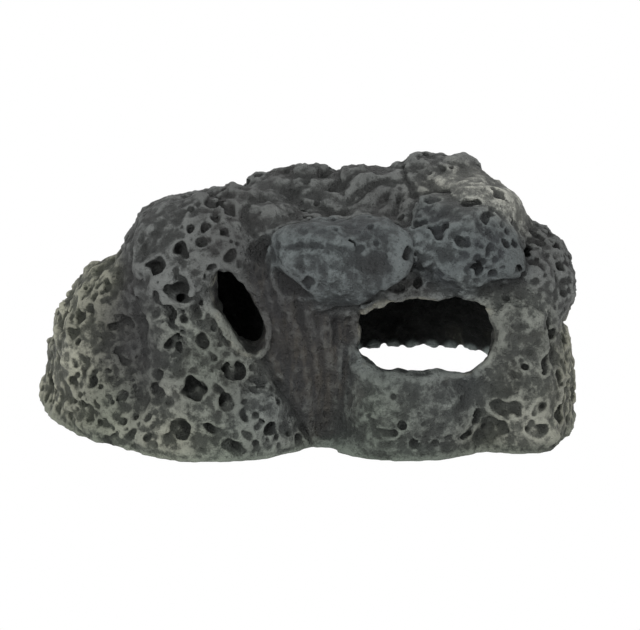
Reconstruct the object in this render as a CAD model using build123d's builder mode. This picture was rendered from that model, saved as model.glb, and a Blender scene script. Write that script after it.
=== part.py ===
"""Cave ornament for an aquarium: stone-shaped resin castings bonded round an open-bottomed cave.

Millimetres, +Z up, the front towards -Y. The origin is the middle of the footprint, on the ground.

The lower stones stand on the ground, meet at flat seams and end at a level seat. The shoulder and the
roof lie on that seat and close the cave. The boulders, the slab, the saddle and the crest stones are
seated in the crown of the roof and the shoulder, each on a thin line of bonding resin.
"""
from build123d import *
from dataclasses import dataclass
from math import cos, radians, sin
import os


# ---------------------------------------------------------------- the cave and its openings

wall = 6.0                      # least skin between the cave and the outside
bond_line = 0.3                 # resin between a seated stone and its curved seat
seat_height = 62.0              # level seat on top of the lower stones
seat_overlap = 14.0             # how far a lower stone would rise past the seat if it weren't cut there
ground_cut = 2.0                # how far hollows run past the ground

left_chamber_x = -58.0
left_chamber_y = 5.0
left_chamber_length = 96.0
left_chamber_depth = 72.0
left_chamber_lean_x = 8.0       # how far its top lies towards +X from its foot, as for the other leans
left_chamber_lean_y = -2.0

main_chamber_x = 46.0
main_chamber_y = 5.0
main_chamber_length = 128.0
main_chamber_depth = 80.0
main_chamber_lean_x = -10.0
main_chamber_lean_y = 6.0

window_x = 52.0
window_width = 60.0
window_height = 31.0
window_sill_height = 35.0

entrance_x = -29.0
entrance_middle_height = 61.0
entrance_length = 42.0
entrance_width = 16.0
entrance_lean = 22.0            # degrees that its top leans towards -X

rear_arch_x = 54.0
rear_arch_width = 80.0
rear_arch_height = 12.5
rear_arch_corner = 11.0

# ---------------------------------------------------------------- the lower stones

outcrop_x = -72.0
outcrop_y = 5.0
outcrop_length = 104.0
outcrop_depth = 84.0
outcrop_height = 68.0
outcrop_turn = -35.0            # degrees in plan

buttress_x = -39.0
buttress_y = -28.0
buttress_length = 86.0
buttress_depth = 50.0
buttress_lean_x = -16.0
buttress_lean_y = 5.0

pillar_x = 2.0
pillar_y = -15.0
pillar_length = 54.0
pillar_depth = 46.0
pillar_height = 89.0
pillar_lean_x = -6.0
pillar_lean_y = 4.0
pillar_back_y = -3.0            # flat back of the pillar

sill_x = 44.0
sill_y = -30.0
sill_length = 80.0
sill_depth = 44.0
sill_lip = 5.0                  # how far the sill stone rises past the lower edge of the window

pier_from_sill_seam = 18.0      # the pier's middle, past the seam that it shares with the sill
pier_y = -20.0
pier_length = 64.0
pier_depth = 49.0
pier_lean_y = 6.0

end_x = 79.0
end_y = 2.0
end_length = 80.0
end_depth = 94.0
end_turn = 25.0                 # degrees in plan
end_seat_height = 46.0          # seat between the end stone and the knob on it
knob_x = 84.0
knob_y = 3.0
knob_length = 68.0
knob_depth = 70.0
knob_height = 94.0

rear_wall_lean_y = -6.0
rear_wall_front_y = 14.0        # flat ends of the rear walls, inside the cave
rear_left_x = -36.0
rear_left_y = 23.0
rear_left_length = 96.0
rear_left_depth = 60.0

rear_right_x = 42.0
rear_right_y = 23.5
rear_right_length = 118.0
rear_right_depth = 60.0

# ---------------------------------------------------------------- the upper stones

shoulder_x = -51.0
shoulder_y = -3.0
shoulder_length = 62.0
shoulder_depth = 68.0
shoulder_height = 101.0
shoulder_lean_x = 5.0
shoulder_lean_y = 4.0

roof_x = 36.0
roof_y = 6.0
roof_length = 128.0
roof_depth = 80.0
roof_height = 101.0
roof_lean_x = -6.0
roof_lean_y = 8.0
rider_sink = 18.0               # how far the feet of the stones on the roof lie below its crown

brow_x = 18.0
brow_y = -29.0
brow_length = 62.0
brow_depth = 42.0
brow_rise = -1.0                # top over the crown of the roof, as for the other riders
brow_overhang = 35.0            # how far it hangs below the crown of the roof
brow_lean_x = -4.0
brow_lean_y = 6.0

cheek_x = 69.0
cheek_y = -20.0
cheek_length = 50.0
cheek_depth = 42.0
cheek_rise = 2.0
cheek_overhang = 33.0
cheek_lean_x = -4.0
cheek_lean_y = 10.0

slab_x = 66.0
slab_y = 2.0
slab_length = 62.0
slab_depth = 54.0
slab_rise = 6.5

saddle_x = -16.0
saddle_y = 0.0
saddle_length = 40.0
saddle_depth = 50.0
saddle_rise = 0.0

crest_y = 25.0
crest_depth = 38.0
crest_left_x = -3.0
crest_left_length = 54.0
crest_left_rise = 3.0
crest_middle_x = 29.0
crest_middle_length = 50.0
crest_middle_rise = 7.0
crest_right_x = 55.0
crest_right_length = 46.0
crest_right_rise = 11.0

# ---------------------------------------------------------------- the seams

outcrop_seam_x = -73.0
pillar_seam_left_x = 5.0
pillar_seam_left_lean = 34.0    # degrees that the seam leans towards -X
pillar_seam_right_x = 12.0
pillar_seam_right_lean = -13.0
sill_seam_x = 74.0
end_seam_x = 98.0
end_seam_y = -20.0
end_seam_turn = 25.0            # degrees in plan
rear_seam_x = -2.0
shoulder_seam_x = -24.0
brow_crack_x = 46.0
brow_crack_lean = -30.0
crest_seam_left_x = 16.0
crest_seam_right_x = 42.0


# ---------------------------------------------------------------- the large pits

pit_depth = 3.2                 # into the side of a stone
wide_pit = 5.5                  # radius of the ball that a wide pit is cut with
narrow_pit = 4.2
outcrop_pit_step = 22.5         # degrees between the pits of one row
outcrop_pit_wander = 0.04       # how far the pits of a row stray, as a share of the height


# ---------------------------------------------------------------- forms, as shares of height and of girth

FOOTED = ((0.0, 1.0), (0.3, 0.95), (0.62, 0.82), (0.85, 0.62), (1.0, 0.34))
SPREADING = ((0.0, 1.0), (0.18, 0.97), (0.4, 0.85), (0.62, 0.7), (1.0, 0.58))
UPRIGHT = ((0.0, 1.0), (0.35, 1.0), (0.7, 0.95), (0.9, 0.75), (1.0, 0.5))
STEEP = ((0.0, 1.0), (0.4, 0.96), (0.75, 0.84), (1.0, 0.7))
WAISTED = ((0.0, 1.0), (0.35, 1.0), (0.72, 0.94), (1.0, 0.76))
KNOB = ((0.0, 0.8), (0.3, 1.0), (0.56, 0.95), (0.8, 0.6), (1.0, 0.26))
HUMP = ((0.0, 0.92), (0.35, 1.0), (0.7, 0.88), (0.9, 0.66), (1.0, 0.44))
VAULT = ((0.0, 1.0), (0.25, 0.97), (0.6, 0.84), (0.88, 0.62), (1.0, 0.36))
BOULDER = ((0.0, 0.5), (0.22, 0.82), (0.52, 1.0), (0.82, 0.84), (1.0, 0.48))
CHAMBER = ((0.0, 1.0), (0.3, 0.96), (0.6, 0.78), (0.85, 0.5), (1.0, 0.26))
CHIMNEY = ((0.0, 1.0), (0.3, 0.95), (0.55, 0.72), (0.75, 0.4), (1.0, 0.16))


# Large pits, each a bearing in plan, a share of the height and a radius. 270 degrees is the front.
BUTTRESS_PITS = (
    (257, 0.63, wide_pit), (281, 0.67, narrow_pit), (298, 0.49, wide_pit), (268, 0.42, wide_pit),
    (286, 0.33, narrow_pit), (238, 0.39, narrow_pit), (252, 0.18, wide_pit), (274, 0.18, narrow_pit),
    (308, 0.17, narrow_pit),
)
SHOULDER_PITS = (
    (241, 0.46, narrow_pit), (262, 0.28, wide_pit), (259, 0.67, narrow_pit), (293, 0.64, narrow_pit),
    (222, 0.6, narrow_pit), (205, 0.3, wide_pit), (182, 0.62, narrow_pit), (163, 0.3, narrow_pit),
    (140, 0.6, wide_pit), (118, 0.3, narrow_pit), (92, 0.55, narrow_pit), (68, 0.35, narrow_pit),
)
END_PITS = (
    (286, 0.82, narrow_pit), (294, 0.56, narrow_pit), (274, 0.52, narrow_pit), (270, 0.24, narrow_pit),
    (292, 0.26, wide_pit), (313, 0.7, wide_pit), (318, 0.28, narrow_pit), (337, 0.6, narrow_pit),
    (346, 0.25, wide_pit), (5, 0.65, narrow_pit), (20, 0.3, narrow_pit), (36, 0.66, wide_pit),
)
OUTCROP_PIT_ROWS = ((0.2, 272, 7), (0.46, 283, 7), (0.71, 272, 6))      # level, first bearing, count


@dataclass(frozen=True)
class Mass:
    """A rounded mass: level ovals of one middle, from its bottom to its top."""

    x: float
    y: float
    length: float
    depth: float
    bottom: float
    top: float
    form: tuple
    lean_x: float = 0.0
    lean_y: float = 0.0
    turn: float = 0.0

    def spot(self, bearing, level, out=0.0):
        """A point `out` from the side: its bearing in plan in degrees and its share of the height."""
        for (lower, wide), (upper, narrow) in zip(self.form, self.form[1:]):
            if level <= upper:
                girth = wide + (narrow - wide) * (level - lower) / (upper - lower)
                break
        along = (self.length / 2 * girth + out) * cos(radians(bearing))
        across = (self.depth / 2 * girth + out) * sin(radians(bearing))
        offset = Vector(along, across, 0).rotate(Axis.Z, self.turn)
        middle = Vector(
            self.x + self.lean_x * level,
            self.y + self.lean_y * level,
            self.bottom + (self.top - self.bottom) * level,
        )
        return middle + offset

    def part(self, grow=0.0):
        """The solid mass, `grow` larger all round."""
        along = (cos(radians(self.turn)), sin(radians(self.turn)), 0)
        low = self.bottom - grow
        high = self.top + grow
        with BuildPart() as mass:
            for level, girth in self.form:
                x = self.x + self.lean_x * level
                y = self.y + self.lean_y * level
                z = low + (high - low) * level
                with BuildSketch(Plane((x, y, z), x_dir=along)):
                    Ellipse(self.length / 2 * girth + grow, self.depth / 2 * girth + grow)
            loft()
        return mass.part


def pit_stone(mass, pits):
    """Cuts pits into the side of the stone that is being built, each a bearing, a level and a radius."""
    for bearing, level, radius in pits:
        with Locations(mass.spot(bearing, level, out=radius - pit_depth)):
            Sphere(radius, mode=Mode.SUBTRACT)


def outcrop_pits():
    """Rows of pits round the outcrop, wide and narrow in turn, each straying a little from its row."""
    for level, first, count in OUTCROP_PIT_ROWS:
        for k in range(count):
            stray = outcrop_pit_wander * sin(radians(137 * k))
            yield first - outcrop_pit_step * k, level + stray, narrow_pit if k % 2 else wide_pit


def seam(x, lean=0.0, y=0.0, turn=0.0):
    """A flat seam through (x, y) on the ground, its top face towards +X before the lean and the turn."""
    facing = Vector(1, 0, 0).rotate(Axis.Y, -lean).rotate(Axis.Z, turn)
    return Plane((x, y, 0), z_dir=facing)


stone_top = seat_height + seat_overlap
outcrop = Mass(
    outcrop_x, outcrop_y, outcrop_length, outcrop_depth, 0, outcrop_height, FOOTED, turn=outcrop_turn
)
buttress = Mass(
    buttress_x, buttress_y, buttress_length, buttress_depth, 0, stone_top, SPREADING,
    lean_x=buttress_lean_x, lean_y=buttress_lean_y,
)
pillar = Mass(
    pillar_x, pillar_y, pillar_length, pillar_depth, 0, pillar_height, UPRIGHT,
    lean_x=pillar_lean_x, lean_y=pillar_lean_y,
)
sill = Mass(sill_x, sill_y, sill_length, sill_depth, 0, window_sill_height + sill_lip, STEEP)
pier_x = sill_seam_x + pier_from_sill_seam
pier = Mass(pier_x, pier_y, pier_length, pier_depth, 0, stone_top, STEEP, lean_y=pier_lean_y)
end = Mass(end_x, end_y, end_length, end_depth, 0, end_seat_height, WAISTED, turn=end_turn)
knob = Mass(knob_x, knob_y, knob_length, knob_depth, end_seat_height, knob_height, KNOB)
rear_left = Mass(
    rear_left_x, rear_left_y, rear_left_length, rear_left_depth, 0, stone_top, STEEP,
    lean_y=rear_wall_lean_y,
)
rear_right = Mass(
    rear_right_x, rear_right_y, rear_right_length, rear_right_depth, 0, stone_top, STEEP,
    lean_y=rear_wall_lean_y,
)
shoulder = Mass(
    shoulder_x, shoulder_y, shoulder_length, shoulder_depth, seat_height, shoulder_height, HUMP,
    lean_x=shoulder_lean_x, lean_y=shoulder_lean_y,
)
roof = Mass(
    roof_x, roof_y, roof_length, roof_depth, seat_height, roof_height, VAULT,
    lean_x=roof_lean_x, lean_y=roof_lean_y,
)

rider_foot = roof_height - rider_sink
brow = Mass(
    brow_x, brow_y, brow_length, brow_depth,
    roof_height - brow_overhang, roof_height + brow_rise, BOULDER,
    lean_x=brow_lean_x, lean_y=brow_lean_y,
)
cheek = Mass(
    cheek_x, cheek_y, cheek_length, cheek_depth,
    roof_height - cheek_overhang, roof_height + cheek_rise, BOULDER,
    lean_x=cheek_lean_x, lean_y=cheek_lean_y,
)
slab = Mass(slab_x, slab_y, slab_length, slab_depth, rider_foot, roof_height + slab_rise, HUMP)
saddle = Mass(
    saddle_x, saddle_y, saddle_length, saddle_depth, rider_foot, roof_height + saddle_rise, HUMP
)
crest_left = Mass(
    crest_left_x, crest_y, crest_left_length, crest_depth,
    rider_foot, roof_height + crest_left_rise, HUMP,
)
crest_middle = Mass(
    crest_middle_x, crest_y, crest_middle_length, crest_depth,
    rider_foot, roof_height + crest_middle_rise, HUMP,
)
crest_right = Mass(
    crest_right_x, crest_y, crest_right_length, crest_depth,
    rider_foot, roof_height + crest_right_rise, HUMP,
)

left_chamber = Mass(
    left_chamber_x, left_chamber_y, left_chamber_length, left_chamber_depth,
    -ground_cut, shoulder_height - wall, CHIMNEY, lean_x=left_chamber_lean_x, lean_y=left_chamber_lean_y,
).part()
main_chamber = Mass(
    main_chamber_x, main_chamber_y, main_chamber_length, main_chamber_depth,
    -ground_cut, roof_height - wall, CHAMBER, lean_x=main_chamber_lean_x, lean_y=main_chamber_lean_y,
).part()
chambers = [left_chamber, main_chamber]

passage_length = 100.0          # longer than any wall is deep

with BuildPart() as window:
    with BuildSketch(Plane.XZ):
        with Locations((window_x, window_sill_height + window_height / 2)):
            SlotOverall(window_width, window_height)
    extrude(amount=passage_length)

with BuildPart() as entrance:
    with BuildSketch(Plane.XZ):
        with Locations((entrance_x, entrance_middle_height)):
            Ellipse(entrance_length / 2, entrance_width / 2, rotation=90 + entrance_lean)
    extrude(amount=passage_length)

with BuildPart() as rear_arch:
    with BuildSketch(Plane.XZ):
        with Locations((rear_arch_x, 0)):
            RectangleRounded(rear_arch_width, 2 * rear_arch_height, rear_arch_corner)
    extrude(amount=-passage_length)

seat = Plane.XY.offset(seat_height)
outcrop_seam = seam(outcrop_seam_x)
pillar_seam_left = seam(pillar_seam_left_x, lean=pillar_seam_left_lean)
pillar_seam_right = seam(pillar_seam_right_x, lean=pillar_seam_right_lean)
sill_seam = seam(sill_seam_x)
end_seam = seam(end_seam_x, y=end_seam_y, turn=end_seam_turn)
rear_seam = seam(rear_seam_x)
pillar_back = Plane((0, pillar_back_y, 0), z_dir=(0, 1, 0))
rear_wall_front = Plane((0, rear_wall_front_y, 0), z_dir=(0, 1, 0))
shoulder_seam = seam(shoulder_seam_x)
brow_crack = Plane((brow_crack_x, 0, roof_height), z_dir=seam(0, lean=brow_crack_lean).z_dir)
crest_seam_left = seam(crest_seam_left_x)
crest_seam_right = seam(crest_seam_right_x)

os.makedirs("parts", exist_ok=True)


# ---------------------------------------------------------------- lower stones

with BuildPart() as left_outcrop:
    add(outcrop.part())
    split(bisect_by=outcrop_seam, keep=Keep.BOTTOM)
    add(left_chamber, mode=Mode.SUBTRACT)
    pit_stone(outcrop, outcrop_pits())
left_outcrop.part.label = "left_outcrop"
export_step(left_outcrop.part, "parts/left_outcrop.step")

with BuildPart() as left_buttress:
    add(buttress.part())
    split(bisect_by=seat, keep=Keep.BOTTOM)
    split(bisect_by=outcrop_seam, keep=Keep.TOP)
    split(bisect_by=pillar_seam_left, keep=Keep.BOTTOM)
    add(chambers, mode=Mode.SUBTRACT)
    add(entrance.part, mode=Mode.SUBTRACT)
    pit_stone(buttress, BUTTRESS_PITS)
left_buttress.part.label = "left_buttress"
export_step(left_buttress.part, "parts/left_buttress.step")

with BuildPart() as centre_pillar:
    add(pillar.part())
    split(bisect_by=pillar_seam_left, keep=Keep.TOP)
    split(bisect_by=pillar_seam_right, keep=Keep.BOTTOM)
    split(bisect_by=pillar_back, keep=Keep.BOTTOM)
    add(chambers, mode=Mode.SUBTRACT)
    add(entrance.part, mode=Mode.SUBTRACT)
    add(window.part, mode=Mode.SUBTRACT)
centre_pillar.part.label = "centre_pillar"
export_step(centre_pillar.part, "parts/centre_pillar.step")

with BuildPart() as window_sill:
    add(sill.part())
    split(bisect_by=pillar_seam_right, keep=Keep.TOP)
    split(bisect_by=sill_seam, keep=Keep.BOTTOM)
    add(main_chamber, mode=Mode.SUBTRACT)
    add(window.part, mode=Mode.SUBTRACT)
window_sill.part.label = "window_sill"
export_step(window_sill.part, "parts/window_sill.step")

with BuildPart() as right_pier:
    add(pier.part())
    split(bisect_by=seat, keep=Keep.BOTTOM)
    split(bisect_by=sill_seam, keep=Keep.TOP)
    split(bisect_by=end_seam, keep=Keep.BOTTOM)
    add(main_chamber, mode=Mode.SUBTRACT)
    add(window.part, mode=Mode.SUBTRACT)
right_pier.part.label = "right_pier"
export_step(right_pier.part, "parts/right_pier.step")

with BuildPart() as right_end:
    add(end.part())
    split(bisect_by=end_seam, keep=Keep.TOP)
    add(main_chamber, mode=Mode.SUBTRACT)
    add(rear_arch.part, mode=Mode.SUBTRACT)
    pit_stone(end, END_PITS)
right_end.part.label = "right_end"
export_step(right_end.part, "parts/right_end.step")

with BuildPart() as right_knob:
    add(knob.part())
    split(bisect_by=end_seam, keep=Keep.TOP)
    add(main_chamber, mode=Mode.SUBTRACT)
right_knob.part.label = "right_knob"
export_step(right_knob.part, "parts/right_knob.step")

with BuildPart() as rear_left_wall:
    add(rear_left.part())
    split(bisect_by=seat, keep=Keep.BOTTOM)
    split(bisect_by=outcrop_seam, keep=Keep.TOP)
    split(bisect_by=rear_seam, keep=Keep.BOTTOM)
    split(bisect_by=rear_wall_front, keep=Keep.TOP)
    add(chambers, mode=Mode.SUBTRACT)
rear_left_wall.part.label = "rear_left_wall"
export_step(rear_left_wall.part, "parts/rear_left_wall.step")

with BuildPart() as rear_right_wall:
    add(rear_right.part())
    split(bisect_by=seat, keep=Keep.BOTTOM)
    split(bisect_by=rear_seam, keep=Keep.TOP)
    split(bisect_by=end_seam, keep=Keep.BOTTOM)
    split(bisect_by=rear_wall_front, keep=Keep.TOP)
    add(chambers, mode=Mode.SUBTRACT)
    add(rear_arch.part, mode=Mode.SUBTRACT)
rear_right_wall.part.label = "rear_right_wall"
export_step(rear_right_wall.part, "parts/rear_right_wall.step")


# ---------------------------------------------------------------- upper stones

outcrop_seat = outcrop.part(bond_line)
pillar_seat = pillar.part(bond_line)
shoulder_seat = shoulder.part(bond_line)
roof_seat = roof.part(bond_line)
knob_seat = knob.part(bond_line)
cheek_seat = cheek.part(bond_line)
saddle_seat = saddle.part(bond_line)
crest_left_seat = crest_left.part(bond_line)
crest_right_seat = crest_right.part(bond_line)

with BuildPart() as left_shoulder:
    add(shoulder.part())
    split(bisect_by=shoulder_seam, keep=Keep.BOTTOM)
    add([outcrop_seat, pillar_seat], mode=Mode.SUBTRACT)
    add(left_chamber, mode=Mode.SUBTRACT)
    add(entrance.part, mode=Mode.SUBTRACT)
    pit_stone(shoulder, SHOULDER_PITS)
left_shoulder.part.label = "left_shoulder"
export_step(left_shoulder.part, "parts/left_shoulder.step")

with BuildPart() as cave_roof:
    add(roof.part())
    split(bisect_by=shoulder_seam, keep=Keep.TOP)
    split(bisect_by=end_seam, keep=Keep.BOTTOM)
    add(pillar_seat, mode=Mode.SUBTRACT)
    add(chambers, mode=Mode.SUBTRACT)
    add(window.part, mode=Mode.SUBTRACT)
    add(entrance.part, mode=Mode.SUBTRACT)
cave_roof.part.label = "cave_roof"
export_step(cave_roof.part, "parts/cave_roof.step")

with BuildPart() as crest_stone_left:
    add(crest_left.part())
    split(bisect_by=crest_seam_left, keep=Keep.BOTTOM)
    add([roof_seat, shoulder_seat], mode=Mode.SUBTRACT)
crest_stone_left.part.label = "crest_stone_left"
export_step(crest_stone_left.part, "parts/crest_stone_left.step")

with BuildPart() as crest_stone_middle:
    add(crest_middle.part())
    split(bisect_by=crest_seam_left, keep=Keep.TOP)
    split(bisect_by=crest_seam_right, keep=Keep.BOTTOM)
    add(roof_seat, mode=Mode.SUBTRACT)
crest_stone_middle.part.label = "crest_stone_middle"
export_step(crest_stone_middle.part, "parts/crest_stone_middle.step")

with BuildPart() as crest_stone_right:
    add(crest_right.part())
    split(bisect_by=crest_seam_right, keep=Keep.TOP)
    add(roof_seat, mode=Mode.SUBTRACT)
crest_stone_right.part.label = "crest_stone_right"
export_step(crest_stone_right.part, "parts/crest_stone_right.step")

with BuildPart() as saddle_stone:
    add(saddle.part())
    add([roof_seat, shoulder_seat, pillar_seat, crest_left_seat], mode=Mode.SUBTRACT)
saddle_stone.part.label = "saddle_stone"
export_step(saddle_stone.part, "parts/saddle_stone.step")

with BuildPart() as brow_boulder:
    add(brow.part())
    split(bisect_by=brow_crack, keep=Keep.BOTTOM)
    add([roof_seat, pillar_seat, saddle_seat], mode=Mode.SUBTRACT)
brow_boulder.part.label = "brow_boulder"
export_step(brow_boulder.part, "parts/brow_boulder.step")

with BuildPart() as cheek_boulder:
    add(cheek.part())
    split(bisect_by=brow_crack, keep=Keep.TOP)
    add([roof_seat, knob_seat], mode=Mode.SUBTRACT)
cheek_boulder.part.label = "cheek_boulder"
export_step(cheek_boulder.part, "parts/cheek_boulder.step")

with BuildPart() as top_slab:
    add(slab.part())
    add([roof_seat, knob_seat, cheek_seat, crest_right_seat], mode=Mode.SUBTRACT)
top_slab.part.label = "top_slab"
export_step(top_slab.part, "parts/top_slab.step")
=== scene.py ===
"""Looks of a cave ornament: stone castings of painted resin, shaped like lava rock.

The stones are read as distance fields on one lattice and melted into one rock, so that swellings, pits and
grooves run on from stone to stone. The cave and its openings stay as the frame has them. Each stone is then
cut out again as a closed mesh of its own. Lengths inside the classes are in millimetres; a finished mesh is
in metres, in the frame's own axes.
"""
import logging
import math
from dataclasses import dataclass
from enum import Enum
from typing import Any

import bpy
import numpy as np
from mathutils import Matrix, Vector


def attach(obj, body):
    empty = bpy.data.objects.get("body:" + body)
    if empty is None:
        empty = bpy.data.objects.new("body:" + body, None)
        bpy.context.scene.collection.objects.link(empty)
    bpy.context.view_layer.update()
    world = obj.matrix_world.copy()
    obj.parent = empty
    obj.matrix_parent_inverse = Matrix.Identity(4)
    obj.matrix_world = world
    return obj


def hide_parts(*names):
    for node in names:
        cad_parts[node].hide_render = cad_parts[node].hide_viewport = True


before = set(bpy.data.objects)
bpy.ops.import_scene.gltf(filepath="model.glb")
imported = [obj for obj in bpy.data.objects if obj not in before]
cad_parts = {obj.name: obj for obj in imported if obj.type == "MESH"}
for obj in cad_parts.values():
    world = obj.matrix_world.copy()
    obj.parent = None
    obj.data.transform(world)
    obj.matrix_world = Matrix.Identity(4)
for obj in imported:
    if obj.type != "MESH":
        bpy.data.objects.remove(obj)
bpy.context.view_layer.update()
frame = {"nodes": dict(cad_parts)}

import openvdb as vdb

log = logging.getLogger("cave")

METRE = 0.001                           # metres in a millimetre
BODY = "root"                           # the body that carries every stone
STEP = 0.7       # from one sample of the lattice to the next
COARSE = 3                              # samples along a coarse cell
MARGIN = 6.0                            # how far the lattice runs past the solids
BAND = 12.0                             # how far from a surface a distance is worked out
FAR = 200.0                             # past the ornament on every side
TINY = 1e-6                             # keeps a division from meeting zero
WHITE = (1.0, 1.0, 1.0, 1.0)

Block = tuple[slice, ...]
Colour = tuple[float, float, float]
Place = tuple[float, float, float]
Mesh = tuple[np.ndarray, np.ndarray]    # points and faces
Socket = bpy.types.NodeSocket


def smooth_min(a: np.ndarray, b: np.ndarray, reach: float) -> np.ndarray:
    """The lower of two fields, with a fillet: min(a, b) - h^2 * reach / 4, h = max(1 - |a - b| / reach, 0).

    Args:
        a: one field.
        b: the other.
        reach: how near the two come to each other before the fillet starts.

    Returns:
        The joined field.
    """
    h = np.maximum(reach - np.abs(a - b), 0.0) / reach
    return np.minimum(a, b) - h * h * (reach / 4.0)


def smooth_max(a: np.ndarray, b: np.ndarray, reach: float) -> np.ndarray:
    """The higher of two fields, with a rounded edge."""
    return -smooth_min(-a, -b, reach)


def ramp(values: np.ndarray, low: float, high: float) -> np.ndarray:
    """Smooth step from 0 at `low` to 1 at `high`: 3t^2 - 2t^3."""
    t = np.clip((values - low) / (high - low), 0.0, 1.0)
    return t * t * (3.0 - 2.0 * t)


def bell(values: np.ndarray, width: float) -> np.ndarray:
    """A soft bump of height 1: exp(-(v / width)^2)."""
    return np.exp(-((values / width) ** 2))


def beyond(solid: np.ndarray, axis: int, forward: bool) -> np.ndarray:
    """Whether anything solid lies at a point or on one side of it.

    Args:
        solid: what is solid.
        axis: the axis to look along.
        forward: whether to look along the axis or back along it.

    Returns:
        A field of the same shape, true where something was met.
    """
    turned = np.flip(solid, axis) if forward else solid
    found = np.logical_or.accumulate(turned, axis=axis)
    return np.flip(found, axis) if forward else found


def blur(values: np.ndarray, spread: float) -> np.ndarray:
    """Gaussian blur, one axis after the other, with the edge values repeated.

    Args:
        values: a field with any number of axes.
        spread: the blur's standard deviation, in samples.

    Returns:
        The blurred field.
    """
    reach = max(int(math.ceil(2.5 * spread)), 1)
    taps = np.exp(-0.5 * (np.arange(-reach, reach + 1) / spread) ** 2).astype(np.float32)
    taps /= taps.sum()
    values = values.astype(np.float32)
    for axis in range(values.ndim):
        pad = [(0, 0)] * values.ndim
        pad[axis] = (reach, reach)
        padded = np.pad(values, pad, mode="edge")
        length = values.shape[axis]
        total = np.zeros_like(values)
        for shift, tap in enumerate(taps):
            window = [slice(None)] * values.ndim
            window[axis] = slice(shift, shift + length)
            total += tap * padded[tuple(window)]
        values = total
    return values


def spline_weights(places: np.ndarray, count: int) -> np.ndarray:
    """Cubic B-spline weights: the four nearest values, with the usual cubic shares of the way between them.

    Args:
        places: where to read, in steps of the evenly spaced values.
        count: how many values there are.

    Returns:
        A row of weights for each place.
    """
    base = np.floor(places).astype(int)
    t = places - base
    shares = ((1 - t) ** 3, 3 * t**3 - 6 * t**2 + 4, -3 * t**3 + 3 * t**2 + 3 * t + 1, t**3)
    weights = np.zeros((len(places), count), np.float32)
    rows = np.arange(len(places))
    for k, share in enumerate(shares):
        np.add.at(weights, (rows, np.clip(base + k - 1, 0, count - 1)), share / 6.0)
    return weights


def expand(values: np.ndarray, weights: list[np.ndarray]) -> np.ndarray:
    """Reads a coarse field at all fine places.

    Args:
        values: the coarse field.
        weights: one matrix of weights per axis.

    Returns:
        The fine field.
    """
    values = np.tensordot(weights[0], values, axes=(1, 0))
    values = np.matmul(weights[1], values)
    return values @ weights[2].T


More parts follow.
